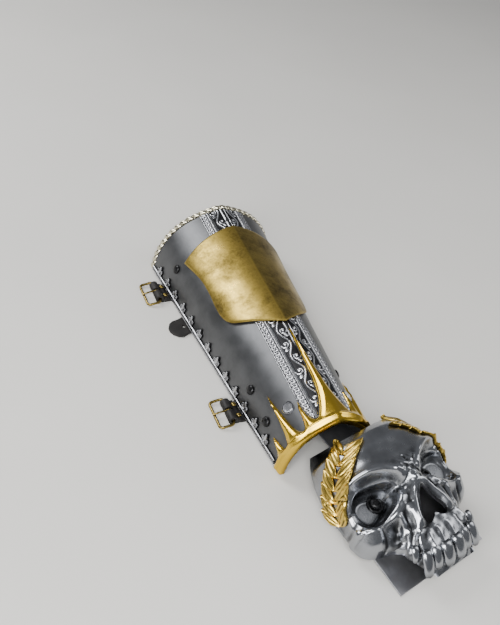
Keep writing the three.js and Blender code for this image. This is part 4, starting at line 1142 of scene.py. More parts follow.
def edge_border(side, label):
    """Rails and a row of fleurs along one lower edge."""
    count = sizes().fleur_count
    stations = np.linspace(FLEUR["start"], SHELL_LENGTH - FLEUR["margin"], count)
    level = BORDER["depth"] - 0.8
    foot = over_arch(side * (quarter_arc(stations) - level), stations, GAP + 0.55)
    tip = over_arch(side * (quarter_arc(stations) - level - 8), stations, GAP + 0.55)
    ahead = over_arch(side * (quarter_arc(stations + 1) - level), stations + 1, GAP + 0.55)
    turns = []
    for low, high, near in zip(foot, tip, ahead):
        up = Vector(high - low).normalized()
        along = Vector(near - low)
        along = (along - up * along.dot(up)).normalized()
        out = up.cross(along)
        if out.x * side < 0:
            along = -along
            out = -out
        turns.append(Matrix((up, along, out)).transposed().to_euler()[:])
    fleurs = set_on_points("fleurs", fleur_shape(), foot, turns, finish("silver"), 70)
    return join(f"fleur_border_{label}", [border_strip(side), fleurs])


# Rivets

STRAP_ALONG = {"elbow": 222.0, "wrist": 65.0}
# Name, place along the cuff and turn from the keel in degrees; the first two hold the straps
RIVETS = (
    ("elbow", STRAP_ALONG["elbow"], 64.0),
    ("middle", STRAP_ALONG["wrist"], 64.0),
    ("wrist", 33.0, 68.0),
)
RING_RIVET = {"along": 27.0, "turn": 40.0}


def on_cuff(along, turn, out):
    """A place on the cuff and the rotation that turns a piece's Z to the surface's normal."""
    here = arch(along, turn, out)
    ahead = arch(along + 1, turn, out) - here
    around = arch(along, turn + 0.01, out) - arch(along, turn - 0.01, out)
    normal = Vector(np.cross(around, ahead))
    if normal.dot(Vector((here[0], 0, here[2]))) < 0:
        normal = -normal
    return here, normal.to_track_quat("Z", "Y").to_euler()[:]


def shell_rivets():
    """Six domed black rivets through the cuff's wall."""
    dome = [(4.3 * math.cos(t), GAP + 0.35 + 1.9 * math.sin(t)) for t in np.linspace(0, QUARTER, 9)]
    profile = [(0, -5.2), (1.9, -5.2), (1.9, GAP), (4.2, GAP), (4.3, GAP + 0.15), *dome]
    shape = loose_shape("rivet", *lathe(profile, 36))
    rows = [(along, side * math.radians(turn)) for side in (-1, 1) for _, along, turn in RIVETS]
    places, turns = zip(*(on_cuff(*row, 0) for row in rows))
    return set_on_points("cuff_rivets", shape, places, turns, finish("black_steel"), 30)


def ring_rivets():
    """Two flat rivets with a turned groove, between the trim's thorns."""
    profile = [
        (0, -SHELL_WALL), (1.9, -SHELL_WALL), (1.9, GAP), (5.1, GAP), (5.2, GAP + 0.1), (5.2, GAP + 0.7),
        (5.05, GAP + 0.85), (4.9, GAP + 0.85), (4.8, GAP + 0.3), (4.3, GAP + 0.3), (4.2, GAP + 0.8),
        (4.05, GAP + 0.9), (3.0, GAP + 0.8), (1.5, GAP + 0.78), (0, GAP + 0.84),
    ]
    points, faces = lathe(profile, 40)
    # The groove reads 0 and is painted dark, as patina and painted shade; the rest of the face reads 0.6.
    groove = [4.25 < radius < 4.85 for radius, _ in profile]
    ridge = np.repeat(np.where(groove, 0.0, 0.6), 40)
    shape = loose_shape("ring rivet", points, faces, {"ridge": ridge})
    turn = math.radians(RING_RIVET["turn"])
    places, turns = zip(*(on_cuff(RING_RIVET["along"], side * turn, 0) for side in (-1, 1)))
    return set_on_points("grooved_rivets", shape, places, turns, finish("silver"), 30)


# Skull, in the guard's frame: x across, y towards the wrist, z up from the plate's top

EYE_BOLT = {
    "across": 27.0, "along": 86.4, "shank": 2.4, "head": 4.4, "seat": 17.1, "washer": 6.5, "thick": 1.3,
}
SKULL = {"start": 26.0, "length": 126.0, "half": 58.0, "crown": 46.0, "rake": 10.0}
SOCKET_FLOOR = 16.8

# Sections from the open back to the teeth: share of the length, then of half-width and crown
SKULL_ROWS = np.array(
    [
        (0, 0.63, 0.74, 0.012),
        (0.08, 0.76, 0.87, 0.012),
        (0.2, 0.88, 0.965, 0.012),
        (0.33, 0.955, 0.98, 0.012),
        (0.42, 0.97, 0.93, 0.012),
        (0.5, 0.96, 0.87, 0.012),
        (0.6, 0.94, 0.81, 0.012),
        (0.68, 0.86, 0.76, 0.012),
        (0.725, 0.76, 0.73, 0.03),
        (0.755, 0.6, 0.7, 0.16),
        (0.8, 0.5, 0.66, 0.26),
        (0.88, 0.46, 0.6, 0.29),
        (0.95, 0.43, 0.53, 0.3),
        (1, 0.38, 0.42, 0.3),
    ]
)


def eased_rows():
    """The section rows drawn as smooth curves over the length."""
    shares = np.linspace(0, 1, 241)
    columns = []
    for k in (1, 2, 3):
        plain = np.interp(shares, SKULL_ROWS[:, 0], SKULL_ROWS[:, k])
        wide = np.pad(plain, 6, mode="reflect", reflect_type="odd")
        window = np.hanning(13)
        columns.append(np.convolve(wide, window / window.sum(), mode="valid"))
    return shares, columns


ROW_SHARES, ROW_COLUMNS = eased_rows()


def skull_section(share):
    side, crown, hem = (np.interp(share, ROW_SHARES, column) for column in ROW_COLUMNS)
    return side * SKULL["half"], crown * SKULL["crown"], hem * SKULL["crown"]


def smooth(share):
    """0 to 1 with eased ends."""
    share = np.clip(share, 0, 1)
    return share * share * (3 - 2 * share)


def hill(x, y, at_x, at_y, wide, long):
    return np.exp(-(((x - at_x) / wide) ** 2) - ((y - at_y) / long) ** 2)


def crest(x, y, line, wide, sharp=1.6):
    """1 on a line of places, falling away to its sides."""
    far, share = to_line(x, y, np.asarray(line, float), False)
    fade = np.clip(np.minimum(share, 1 - share) * 6, 0, 1) ** 0.5
    return np.exp(-((far / wide) ** sharp)) * fade


SOCKET_EDGE = through(
    [
        (49, 80), (44, 76), (38, 74.5), (31, 75.5), (24, 78), (17.5, 81.5), (15, 86.5),
        (17, 92.5), (23, 97), (30, 100), (39, 102.5), (46, 100), (50.5, 93), (51, 86),
    ],
    (),
    3,
)


def socket_reach(x, y, out):
    """1 on the edge of an eye socket, less inside it, more outside."""
    return 1 + (inside_line(x, y, SOCKET_EDGE) + out) / 15


BROW = [(7, 86), (12, 79), (20, 73.5), (30, 69), (41, 67.5), (49, 73)]
TEMPLE_RIM = [(47, 72), (52, 82), (52.5, 92), (49, 101)]
CHEEK_RIM = [(50, 99), (42, 104), (32, 104.5), (22, 101), (15, 94)]
CHEEK_PLATE = [(44, 100.5), (40.5, 106), (42, 116), (47, 121), (58, 116), (60, 100), (52, 96)]
NOSE_SIDE = [(3.5, 90), (8.5, 99), (13, 110), (15.5, 121)]
JAW_STRUT = [(25, 104), (27, 112), (31, 120)]
JAW_RIDGE = [(15, 101), (17.5, 112), (20, 124), (22, 134)]
ARCH_EDGE = [(45, 119), (36, 121), (29, 126), (26, 134)]
CRACKS = (
    [(-9, 84), (-4, 80), (1, 79)],
    [(-7, 77), (-2, 79), (3, 83), (6, 88)],
    [(0, 71), (1, 77), (0, 84)],
    [(8, 74), (5, 79), (1, 84)],
    [(-3, 86), (2, 88), (6, 92)],
)
# Half the teeth: place across, half-width, height, and how far back it stands
TEETH = (
    (5.8, 5.5, 19.5, 0.0),
    (15.0, 4.2, 18.0, 1.2),
    (23.6, 4.5, 20.5, 1.8),
    (29.0, 3.2, 13.0, 9.0),
)


def skull_lift(x, y):
    """Height of the modelling over the plain skull, in millimetres, at a place across and along."""
    m = np.abs(x)
    reach = socket_reach(m, y, 0)
    lift = 4.2 * crest(m, y, BROW, 5.2)
    lift += 1.6 * crest(m, y, BROW, 11)
    lift += 3.6 * crest(m, y, TEMPLE_RIM, 3.2)
    lift += 2.0 * crest(m, y, CHEEK_RIM, 3.0)
    lift += 2.6 * hill(m, y, 0, 79, 9, 8)
    lift += 5.0 * hill(m, y, 0, 91, 5.5, 9)
    lift += 3.0 * crest(m, y, NOSE_SIDE, 2.6)
    lift += 2.2 * crest(m, y, JAW_STRUT, 2.2)
    lift += 2.6 * crest(m, y, JAW_RIDGE, 3.4)
    lift += 2.0 * crest(m, y, ARCH_EDGE, 2.4)
    plate = inside_line(m, y, np.asarray(CHEEK_PLATE, float))
    lift += 3.8 / (1 + np.exp(plate / 0.9)) + 2.2 * hill(m, y, 50, 109, 8, 9)
    lift -= 1.6 * np.exp(-(((m - 40.2 - 0.10 * (y - 106)) / 0.9) ** 2)) * (y > 104) * (y < 119)
    lift -= 6.0 * hill(m, y, 33, 112.5, 6.0, 6.5)
    lift -= 2.6 * hill(m, y, 21.5, 111, 3.2, 8)
    lift -= 2.6 * hill(m, y, 56, 86, 6, 9)
    lift -= 1.0 * np.exp(-(((m - 49.5) / 4) ** 2) - ((y - 84.2 - (m - 50) * 0.15) / 0.55) ** 2)
    lift += 2.6 * hill(m, y, 17, 134, 9, 13)
    for tooth_x, width, _, back in TEETH:
        root = [(tooth_x * 0.86, 124 - back), (tooth_x * 0.95, 134 - back), (tooth_x, 141 - back)]
        lift += 1.1 * crest(m, y, root, width * 0.5)
        bow = np.linspace(-1, 1, 7)
        gum = [(tooth_x + b * (width + 0.5), 140.5 - back + 8 * b * b) for b in bow]
        lift += 1.2 * crest(m, y, gum, 1.3)
    for crack in CRACKS:
        lift -= 0.9 * crest(x, y, crack, 0.8)
    knots = np.sin(x * 0.9 + 1.3) * np.sin(y * 0.8 + 0.4) + 0.6 * np.sin(x * 1.7 - y * 1.3)
    lift += 0.3 * knots * hill(x, y, 0, 80, 9, 7)
    lift += 0.35 * np.sin(x * 0.55 + y * 0.22) * np.sin(y * 0.5) * (y > 118) * np.clip(reach - 1, 0, 1)
    lift -= 8.0 * smooth(1 - (reach - 1) * 15 / 8.5) * smooth((94 - y) / 8) * smooth((49 - m) / 12)
    lift -= 4.2 * smooth((y - 138) / 7)
    return lift


def skull_skin(share, turn, out):
    """Points on the skull: share from back to teeth, turn from -1 to 1 over the crown."""
    share, turn, out = np.broadcast_arrays(*(np.asarray(value, float) for value in (share, turn, out)))
    side, crown, hem = skull_section(share)
    angle = turn * QUARTER
    rise = crown - hem
    sine, cosine = np.sin(angle), np.cos(angle)
    flat = side * sine
    along = SKULL["start"] + share * SKULL["length"]
    along = along + SKULL["rake"] * cosine * (1 - np.clip(share * 3, 0, 1)) ** 2
    lift = out + skull_lift(flat, along) * np.clip((1.02 - np.abs(turn)) / 0.06, 0.25, 1)
    size = np.hypot(sine / side, cosine / rise)
    x = flat + sine / side / size * lift
    height = hem + rise * cosine + cosine / rise / size * lift
    m = np.abs(x)
    reach = socket_reach(m, along, out)
    low = 0.5 * smooth((1.05 - reach) / 0.16) + 0.5 * smooth((0.97 - reach) / 0.38)
    floor = np.minimum(height, SOCKET_FLOOR + out)
    return np.stack([x, -along, height + (floor - height) * low], -1)


# The nose's half outline: share of its length and of its half-width
NOSE_ROWS = ((0, 0.05), (0.22, 0.36), (0.55, 0.72), (0.86, 1), (1, 0.78), (0.95, 0.36), (0.82, 0))
NOSE = {"top": 95.0, "bottom": 121.0, "half": 12.0}


def nose_outline():
    long = NOSE["bottom"] - NOSE["top"]
    side = [(half * NOSE["half"], NOSE["top"] + along * long) for along, half in NOSE_ROWS]
    rows = [*side, *[(-x, y) for x, y in side[-2::-1]]]
    return through(rows, [len(side) - 1], 5)


def tooth_object(across, width, height, back, side):
    """One tooth: a broad crown that narrows to its tip, with a slight cup on its face."""
    sides = 20
    shares = np.array([0, 0, 0.04, 0.1, 0.18, 0.3, 0.45, 0.6, 0.72, 0.82, 0.9, 0.95, 0.985, 1, 1])
    level, around = np.meshgrid(shares, np.arange(sides) / sides * 2 * math.pi, indexing="ij")
    crown = np.sqrt(np.clip(1 - (1 - np.clip(level / 0.3, 0, 1)) ** 2, 0.02, 1))
    tip = (1 - np.clip((level - 0.45) / 0.55, 0, 1) ** 3) ** 0.5
    shut = np.ones(len(shares))
    shut[[0, -1]] = 0.001
    blade = width * (0.6 + 0.4 * crown) * (0.3 + 0.7 * tip) * shut[:, None]
    thick = width * 0.62 * (0.35 + 0.65 * crown) * (0.35 + 0.65 * tip) * shut[:, None]
    x = blade * np.cos(around)
    y = thick * np.sin(around)
    z = -level * height
    swell = -1.3 * np.sin(level * math.pi)
    lean = math.radians(48)
    turned_y = (y + swell) * math.cos(lean) + z * math.sin(lean)
    turned_z = -(y + swell) * math.sin(lean) + z * math.cos(lean)
    yaw = side * across / 27.0 * 0.22
    out_x = x * math.cos(yaw) - turned_y * math.sin(yaw)
    out_y = x * math.sin(yaw) + turned_y * math.cos(yaw)
    front = SKULL["start"] + SKULL["length"] - back
    foot = SKULL["crown"] * 0.635 - across * 0.09
    points = from_guard(np.stack([out_x + side * across, out_y - front + 16.0, turned_z + foot], -1))
    faces = ring_faces(*level.shape)
    # A painted highlight: each tooth is brighter about its middle and darker at root and tip.
    shine = (0.3 + 0.55 * np.sin(np.clip(level * 1.1, 0, 1) * math.pi) ** 0.6).ravel()
    return mesh_object("tooth", points.reshape(-1, 3), faces, 60, {"ridge": shine})


def skull_guard():
    """The cast skull: one wall, open below and behind, cut through at the nose, with its teeth."""
    wall = in_mm(sizes().skull_wall)
    shares = np.linspace(0, 1, 197)
    turns = np.linspace(-1, 1, 225)
    share, turn = np.meshgrid(shares, turns, indexing="ij")
    outer = skull_skin(share, turn, 0.0)
    inner = skull_skin(share, turn, -wall)
    hole = nose_outline()
    inside = inside_line(outer[..., 0], -outer[..., 1], hole)
    kept = cells(inside > 0)
    step = 0.05
    gx = (inside_line(outer[..., 0] + step, -outer[..., 1], hole) - inside) / step
    gy = (inside_line(outer[..., 0], -outer[..., 1] + step, hole) - inside) / step
    pull = np.where((inside < 0) & (inside > -1.2), inside, 0)
    for grid in (outer, inner):
        grid[..., 0] -= pull * gx
        grid[..., 1] += pull * gy
    inner[..., 2] = np.minimum(inner[..., 2], outer[..., 2] - wall * 0.35)
    ridge_top = from_guard(outer)
    points, faces, used = closed_skin(ridge_top, from_guard(inner), kept)
    # Broad swells are painted bright and hollows dark: painted highlight and painted shade.
    fine = ridges(ridge_top, 2, 0.12)
    broad = ridges(ridge_top, 6, 1.1)
    ridge = np.clip(0.25 * fine + 0.75 * broad, 0, 1)
    # Inside the eye sockets the painted highlight and shade are held to a middle tone.
    low = np.clip((1.12 - socket_reach(np.abs(outer[..., 0]), -outer[..., 1], 0)) / 0.2, 0, 1)
    ridge = ridge * (1 - low) + low * np.clip(ridge, 0.36, 0.5)
    # The inner wall gets 0.15: painted shade inside the skull.
    values = np.concatenate([ridge.ravel(), np.full(ridge.size, 0.15)])[used]
    pieces = [mesh_object("skull_wall", points, faces, 50, {"ridge": values})]
    for across, width, tall, back in TEETH:
        for side in (-1, 1):
            pieces.append(tooth_object(across, width, tall, back, side))
    return join("skull_cast", pieces)


# Laurels

TEMPLE_ARC = SKULL["half"] * 1.35
LEAF = {"half": 6.4, "side": ((0, 0.06), (0.16, 0.62), (0.4, 1.0), (0.66, 0.86), (0.88, 0.36), (1.0, 0.0))}


def stem_place(climb):
    return np.array([0.47 + (0.08 - 0.47) * climb, 0.93 + (0.4 - 0.93) * climb**1.15])


def laurel_leaf(root, heading, long, half, curl, side, level):
    """One leaf laid over the skull: a raised rim, a groove each side and a soft midrib."""
    rows = [(a * long, b * half) for a, b in LEAF["side"]]
    outline = through([*rows, *[(a, -b) for a, b in rows[-2:0:-1]], (0, -rows[0][1])], [len(rows) - 1], 4)

    def height(u, v, depth):
        deep = np.maximum(depth, 0)
        dome = 1.5 * (1 - np.exp(-deep / 1.2))
        rib = 0.55 * np.exp(-((v / 0.55) ** 2)) - 0.35 * np.exp(-(((np.abs(v) - 1.3) / 0.7) ** 2))
        rim = 0.45 * np.exp(-(((deep - 0.6) / 0.5) ** 2))
        tilt = 0.6 + 2.1 * np.clip(u / long, 0, 1) + level
        return tilt + dome + rib * np.clip(deep / 1.2, 0, 1) + rim

    def place(u, v, out):
        bent_v = v + curl * half * 0.55 * np.sin(np.clip(u / long, 0, 1) * math.pi)
        share = root[0] + (heading[0] * u - heading[1] * bent_v) / SKULL["length"]
        turn = root[1] + (heading[1] * u + heading[0] * bent_v) / TEMPLE_ARC
        return from_guard(skull_skin(np.maximum(share, -0.02), side * np.minimum(turn, 1), out))

    top, bottom, kept, _ = relief(
        lambda u, v: inside_line(u, v, outline), height, flat_floor(0.35 + level),
        (-0.5, -half - 0.5), (long + 0.5, half + 0.5), 0.7, place,
    )
    return skin_object("leaf", top, bottom, kept, 2, 0.25, 60)


def laurel_branch(side, label):
    """A branch of shingled leaves from the hem over the temple to the crown's back."""
    s = sizes()
    pairs, long = s.leaf_pairs, in_mm(s.leaf_length)
    leaves = []
    for i in range(pairs):
        climb = (i + 0.1) / pairs
        here, there = stem_place(climb), stem_place(climb + 0.05)
        run = np.array([(there[0] - here[0]) * SKULL["length"], (there[1] - here[1]) * TEMPLE_ARC])
        run /= np.linalg.norm(run)
        size = long * (0.9 + 0.14 * climb)
        for lean in (-1, 1):
            angle = lean * 0.7
            sine, cosine = math.sin(angle), math.cos(angle)
            heading = np.array([run[0] * cosine - run[1] * sine, run[0] * sine + run[1] * cosine])
            half = LEAF["half"] * (0.66 + 0.14 * climb)
            level = 0.12 * (pairs - i) / pairs
            leaves.append(laurel_leaf(here, heading, size, half, lean * 0.5, side, level))
    return join(f"laurel_branch_{label}", leaves)


# Plate and eye fixings

def softened(name, node, edge_mm, segments=2):
    """A copy of a node's solid with its faces joined and its edges eased."""
    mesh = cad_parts[node].data.copy()
    mesh.name = name
    work = bmesh.new()
    work.from_mesh(mesh)
    bmesh.ops.remove_doubles(work, verts=work.verts, dist=2e-6)
    bmesh.ops.dissolve_limit(work, angle_limit=math.radians(1.5), verts=work.verts, edges=work.edges)
    work.to_mesh(mesh)
    work.free()
    rough = in_scene(name, mesh)
    ease = rough.modifiers.new("ease", "BEVEL")
    ease.width = edge_mm * MM
    ease.segments = segments
    ease.limit_method = "ANGLE"
    ease.angle_limit = math.radians(32)
    view = bpy.context.evaluated_depsgraph_get()
    done = bpy.data.meshes.new_from_object(rough.evaluated_get(view))
    bpy.data.objects.remove(rough)
    smooth_faces(done, 30)
    return in_scene(name, done)


def over_both_eyes(name, shape):
    """Sets a turned piece over both eye bolts' holes, square to the plate."""
    places = [from_guard((side * EYE_BOLT["across"], -EYE_BOLT["along"], 0)) for side in (-1, 1)]
    turn = Matrix(GUARD.tolist()).to_euler()[:]
    return set_on_points(name, shape, places, [turn] * 2, finish("black_steel"), 35)


def eye_washers():
    """Two black cupped washers with a raised rim."""
    b = EYE_BOLT
    low, out, bore = b["seat"], b["washer"], b["shank"] + GAP
    profile = [
        (bore, low), (out, low), (out, low + 0.9), (out - 0.25, low + 1.25), (out - 0.8, low + b["thick"]),
        (out - 1.3, low + 1.1), (out - 1.7, low + 0.7), (bore, low + 0.6), (bore, low),
    ]
    return over_both_eyes("eye_washers", loose_shape("washer", *lathe(profile, 48)))


def eye_bolts():
    """Two button-head bolts with a six-sided recess."""
    b = EYE_BOLT
    seat = b["seat"] + b["thick"] + GAP
    profile = [
        (0, -SHEET_STEEL), (b["shank"], -SHEET_STEEL), (b["shank"], seat), (b["head"], seat),
        (b["head"], seat + 0.5), (4.15, seat + 1.35), (3.5, seat + 2.0), (2.9, seat + 2.4),
        (2.5, seat + 2.5), (2.2, seat + 2.42), (2.15, seat + 0.9), (0, seat + 0.8),
    ]
    sides = 48
    points, faces = lathe(profile, sides)
    rows = points.reshape(len(profile), sides, 3)
    angle = np.mod(np.arange(sides) / sides * 2 * math.pi, math.pi / 3) - math.pi / 6
    rows[9:11, :, :2] *= (0.92 / np.cos(angle))[None, :, None]
    return over_both_eyes("eye_bolts", loose_shape("bolt", rows.reshape(-1, 3), faces))


# Buckles

BUCKLE = {"reach": 9.6, "width": 31.0, "depth": 15.0, "prong": 2.4, "rivet": 2.2, "spread": 6.0}


def buckle_sizes(along):
    wire = in_mm(sizes().buckle_wire)
    eye = wire / 2 + 3 * GAP + STRAP_LEATHER
    half = wire / 2
    reach = BUCKLE["depth"] - half
    drop = math.asin(eye / math.hypot(reach, half)) - math.atan2(half, reach)
    bar = section(along)[0] + BORDER["thick"] + BUCKLE["reach"]
    return wire, eye, drop, bar


def on_bar(points, along):
    """From the frame's own plane, heel bar at the origin, to its place in the tab's eye."""
    _, eye, drop, bar = buckle_sizes(along)
    x, y, z = np.moveaxis(np.asarray(points, float), -1, 0)
    sine, cosine = math.sin(drop), math.cos(drop)
    turned = np.stack([x * cosine - z * sine, y, x * sine + z * cosine], -1)
    return turned + np.array([-bar, along, GROUND + eye])


def arc_points(cx, cy, radius, start, end, steps=8):
    angles = np.linspace(start, end, steps)
    return [(cx + radius * math.cos(a), cy + radius * math.sin(a)) for a in angles]


def swept(name, line, radius, closed, material):
    start = path_object(line, closed)
    values = {"Radius": radius * MM, "Sides": 16, "Material": material}
    return grow(name, start, wire_along_path(), values, 50)


def buckle_frame(place):
    """A round-wire frame with bent corners."""
    along = STRAP_ALONG[place]
    wire = buckle_sizes(along)[0]
    left, right = wire - BUCKLE["depth"], 0
    half = BUCKLE["width"] / 2 - wire / 2
    r, pi = 3.0, math.pi
    flat = [
        *arc_points(right - r, half - r, r, 0, pi / 2),
        *arc_points(left + r, half - r, r, pi / 2, pi),
        *arc_points(left + r, r - half, r, pi, 1.5 * pi),
        *arc_points(right - r, r - half, r, 1.5 * pi, 2 * pi),
    ]
    line = on_bar([(x, y, 0) for x, y in flat], along)
    return swept(f"{place}_buckle_wire", line, wire / 2, True, finish("buckle_brass"))


def buckle_prong(place):
    """A wire prong hooked round the heel bar and bent down to the front bar."""
    along = STRAP_ALONG[place]
    wire = buckle_sizes(along)[0]
    thick = 0.75
    ring = wire / 2 + GAP + thick
    hook = [(x, 0, z) for x, z in arc_points(0, 0, ring, math.radians(-80), math.radians(118), 10)]
    reach = BUCKLE["depth"] - wire
    arm = [
        (-reach * 0.35, 0, ring + 0.1), (-reach * 0.7, 0, ring),
        (-reach - 0.6, 0, ring - 0.1), (-reach - 1.2, 0, ring - 0.35),
    ]
    return swept(f"{place}_prong_wire", on_bar([*hook, *arm], along), thick, False, finish("buckle_brass"))


def tab_rivets(place):
    """Two small brass domes that hold the folded tab."""
    along = STRAP_ALONG[place]
    _, eye, _, bar = buckle_sizes(along)
    r = BUCKLE["rivet"]
    dome = [(r * math.cos(t), GAP + 0.2 + r * 0.66 * math.sin(t)) for t in np.linspace(0, QUARTER, 8)]
    shape = loose_shape("tab rivet", *lathe([(0, GAP), (r, GAP), *dome], 24))
    x, z = -(bar - eye - r - GAP), GROUND + 2 * STRAP_LEATHER
    places = [(x, along + side * BUCKLE["spread"], z) for side in (-1, 1)]
    return set_on_points(f"{place}_tab_rivets", shape, places, [(0, 0, 0)] * 2, finish("buckle_brass"), 30)


# Stage

VIEW = {
    "place": (-302.63, -336.32, 510.15),
    "right": (0.90892913, -0.37715041, 0.17777907),
    "up": (0.12779375, 0.65784931, 0.74222843),
    "forward": (0.3968836, 0.65191399, -0.64613587),
    "focal_px": 827.17,
    "height_px": 625,
}


def make_camera():
    data = bpy.data.cameras.new("camera")
    data.sensor_fit = "VERTICAL"
    data.sensor_height = 36
    data.lens = 36 * VIEW["focal_px"] / VIEW["height_px"]
    data.clip_start = 0.01
    camera = in_scene("camera", data)
    right, up, forward = (Vector(VIEW[key]) for key in ("right", "up", "forward"))
    place = Vector((np.array(VIEW["place"]) + ORIGIN) * MM)
    turn = Matrix((right, up, -forward)).transposed().to_4x4()
    camera.matrix_world = Matrix.Translation(place) @ turn
    bpy.context.scene.camera = camera


def soft_light(name, place, target, size, energy):
    data = bpy.data.lights.new(name, "AREA")
    data.shape = "RECTANGLE"
    data.size, data.size_y = size
    data.energy = energy
    lamp = in_scene(name, data)
    lamp.location = place
    lamp.rotation_euler = (Vector(target) - Vector(place)).to_track_quat("-Z", "Y").to_euler()


def floor_material():
    """Plain matte paper sweep: pale and even, with a very faint tooth."""
    material, tree, shader, place = bare_material("pale paper sweep")
    cloud = noise(tree, place, 1 / 180, 2)
    base = tuple(colours().floor)
    tint = ramp(tree, cloud, [(0.35, scaled(base, 0.97)), (0.65, base)])
    tree.links.new(tint, shader.inputs["Base Color"])
    shader.inputs["Roughness"].default_value = 0.9
    return material


# Operators and panel


class VAMBRACE_OT_stage(bpy.types.Operator):
    """Makes the camera, the plain floor and the soft studio light."""

    bl_idname = "vambrace.stage"
    bl_label = "Stage"

    def execute(self, context):
        make_camera()
        mesh = bpy.data.meshes.new("floor")
        wide = 4.0
        corners = [(-wide, -wide, 0), (wide, -wide, 0), (wide, wide, 0), (-wide, wide, 0)]
        mesh.from_pydata(corners, [], [(0, 1, 2, 3)])
        mesh.materials.append(floor_material())
        in_scene("floor", mesh)
        world = bpy.data.worlds.new("studio")
        world.use_nodes = True
        world.node_tree.nodes["Background"].inputs[0].default_value = (*linear(0xE6E8EC), 1)
        world.node_tree.nodes["Background"].inputs[1].default_value = 0.3
        context.scene.world = world
        soft_light("key", (-0.62, 0.85, 0.85), (-0.03, 0.05, 0.03), (0.45, 0.75), 12)
        soft_light("front", (-0.55, -0.75, 1.0), (0, -0.1, 0.03), (0.6, 0.6), 17)
        soft_light("side", (0.95, -0.2, 0.8), (0, 0, 0.03), (0.5, 0.9), 5)
        soft_light("left", (-0.9, -0.5, 0.5), (0, -0.12, 0.03), (0.4, 0.4), 7)
        return {"FINISHED"}


class VAMBRACE_OT_shell(bpy.types.Operator):
    """Makes the cuff's smooth shell."""

    bl_idname = "vambrace.shell"
    bl_label = "Cuff shell"

    def execute(self, context):
        dress(cuff_shell(), finish("gunmetal"), "shell_steel", "forearm_shell")
        return {"FINISHED"}


class VAMBRACE_OT_rope(bpy.types.Operator):
    """Makes the roped rim round the elbow end."""

    bl_idname = "vambrace.rope"
    bl_label = "Roped rim"

    def execute(self, context):
        dress(roped_rim(), finish("pale_brass"), "pale_brass", "roped_rim")
        return {"FINISHED"}


class VAMBRACE_OT_trim(bpy.types.Operator):
    """Makes the wrist trim with its thorns."""

    bl_idname = "vambrace.trim"
    bl_label = "Wrist trim"

    def execute(self, context):
        dress(wrist_trim(), finish("bright_brass"), "bright_brass", "wrist_trim")
        return {"FINISHED"}


class VAMBRACE_OT_plaque(bpy.types.Operator):
    """Makes the shield plaque over the keel."""

    bl_idname = "vambrace.plaque"
    bl_label = "Shield plaque"

    def execute(self, context):
        dress(shield_plaque(), finish("aged_brass"), "aged_brass", "shield_plaque")
        return {"FINISHED"}


class VAMBRACE_OT_bands(bpy.types.Operator):
    """Makes the braided bands and the scrolled panels beside the keel."""

    bl_idname = "vambrace.bands"
    bl_label = "Bands and panels"

    def execute(self, context):
        outer = BAND["inner"] + BAND["width"]
        for label, side in (("left", -1), ("right", 1)):
            band = strip(f"braided_band_{label}", BAND["inner"], outer, braid_height, side)
            dress(band, finish("silver"), "antique_silver", f"knot_band_{label}")
            panel = strip(f"scrolled_panel_{label}", PANEL["inner"], PANEL["outer"], scroll_height, side)
            dress(panel, finish("silver"), "antique_silver", f"vine_panel_{label}")
        return {"FINISHED"}


class VAMBRACE_OT_borders(bpy.types.Operator):
    """Makes the fleur borders along the lower edges."""

    bl_idname = "vambrace.borders"
    bl_label = "Fleur borders"

    def execute(self, context):
        for label, side in (("left", -1), ("right", 1)):
            dress(edge_border(side, label), finish("silver"), "antique_silver", f"edge_border_{label}")
        return {"FINISHED"}


class VAMBRACE_OT_rivets(bpy.types.Operator):
    """Makes the cuff's domed rivets and the grooved ones."""

    bl_idname = "vambrace.rivets"
    bl_label = "Cuff rivets"

    def execute(self, context):
        nodes = [f"shell_rivet_{side}_{row[0]}" for side in ("left", "right") for row in RIVETS]
        dress(shell_rivets(), finish("black_steel"), "black_steel", *nodes)
        dress(ring_rivets(), finish("silver"), "shell_steel", "ring_rivet_left", "ring_rivet_right")
        return {"FINISHED"}


class VAMBRACE_OT_skull(bpy.types.Operator):
    """Makes the cast skull with its teeth."""

    bl_idname = "vambrace.skull"
    bl_label = "Skull"

    def execute(self, context):
        dress(skull_guard(), finish("cast_metal"), "skull_metal", "skull")
        return {"FINISHED"}


class VAMBRACE_OT_fixings(bpy.types.Operator):
    """Makes the washers and bolts in the eye sockets, and the plate under the skull."""

    bl_idname = "vambrace.fixings"
    bl_label = "Plate and eye bolts"

    def execute(self, context):
        dress(eye_washers(), finish("black_steel"), "black_steel", "eye_washer_left", "eye_washer_right")
        dress(eye_bolts(), finish("black_steel"), "black_steel", "eye_bolt_left", "eye_bolt_right")
        plate = softened("hand_plate_sheet", "hand_plate", 0.35)
        dress(plate, finish("satin_steel"), "plate_steel", "hand_plate")
        return {"FINISHED"}


class VAMBRACE_OT_laurels(bpy.types.Operator):
    """Makes the two laurel branches over the temples."""

    bl_idname = "vambrace.laurels"
    bl_label = "Laurels"

    def execute(self, context):
        for label, side in (("left", -1), ("right", 1)):
            dress(laurel_branch(side, label), finish("antique_gold"), "antique_gold", f"laurel_{label}")
        return {"FINISHED"}


class VAMBRACE_OT_straps(bpy.types.Operator):
    """Makes the leather straps, the buckle tabs and the sling."""

    bl_idname = "vambrace.straps"
    bl_label = "Leather straps"

    def execute(self, context):
        for place in STRAP_ALONG:
            for part in ("strap", "tab"):
                node = f"{place}_{part}"
                dress(softened(f"{node}_leather", node, 0.5, 3), finish("leather"), "strap_leather", node)
        sling = softened("sling_leather", "hinge_sling", 0.5, 3)
        dress(sling, finish("leather"), "strap_leather", "hinge_sling")
        return {"FINISHED"}


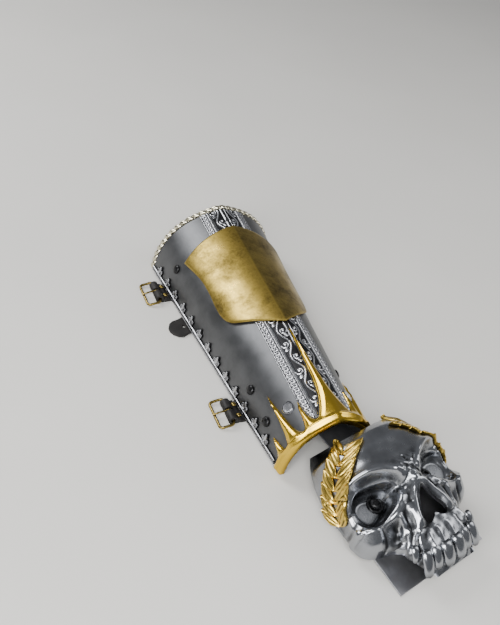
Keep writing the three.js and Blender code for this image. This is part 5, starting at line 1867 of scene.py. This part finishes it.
class VAMBRACE_OT_buckles(bpy.types.Operator):
    """Makes the wire buckles, their prongs and the tab rivets."""

    bl_idname = "vambrace.buckles"
    bl_label = "Buckles"

    def execute(self, context):
        for place in STRAP_ALONG:
            brass = finish("buckle_brass")
            dress(buckle_frame(place), brass, "buckle_brass", f"{place}_buckle")
            dress(buckle_prong(place), brass, "buckle_brass", f"{place}_prong")
            nodes = (f"{place}_tab_rivet_1", f"{place}_tab_rivet_2")
            dress(tab_rivets(place), brass, "buckle_brass", *nodes)
        return {"FINISHED"}


STEPS = (
    VAMBRACE_OT_stage,
    VAMBRACE_OT_shell,
    VAMBRACE_OT_rope,
    VAMBRACE_OT_trim,
    VAMBRACE_OT_plaque,
    VAMBRACE_OT_bands,
    VAMBRACE_OT_borders,
    VAMBRACE_OT_rivets,
    VAMBRACE_OT_skull,
    VAMBRACE_OT_fixings,
    VAMBRACE_OT_laurels,
    VAMBRACE_OT_straps,
    VAMBRACE_OT_buckles,
)


class VAMBRACE_PT_panel(bpy.types.Panel):
    """Lists the pieces and their sizes and colours."""

    bl_idname = "VAMBRACE_PT_panel"
    bl_label = "Vambrace"
    bl_space_type = "VIEW_3D"
    bl_region_type = "UI"
    bl_category = "Vambrace"

    def draw(self, context):
        for step in STEPS:
            self.layout.operator(step.bl_idname)
        for group in (context.scene.vambrace_sizes, context.scene.vambrace_colours):
            column = self.layout.column()
            for name in group.__annotations__:
                column.prop(group, name)


CLASSES = (VambraceSizes, VambraceColours, *STEPS, VAMBRACE_PT_panel)


def register():
    for made in CLASSES:
        bpy.utils.register_class(made)
    bpy.types.Scene.vambrace_sizes = PointerProperty(type=VambraceSizes)
    bpy.types.Scene.vambrace_colours = PointerProperty(type=VambraceColours)


def unregister():
    del bpy.types.Scene.vambrace_colours
    del bpy.types.Scene.vambrace_sizes
    for made in reversed(CLASSES):
        bpy.utils.unregister_class(made)


def main():
    register()
    for step in STEPS:
        group, action = step.bl_idname.split(".")
        getattr(getattr(bpy.ops, group), action)()


if __name__ == "__main__":
    main()
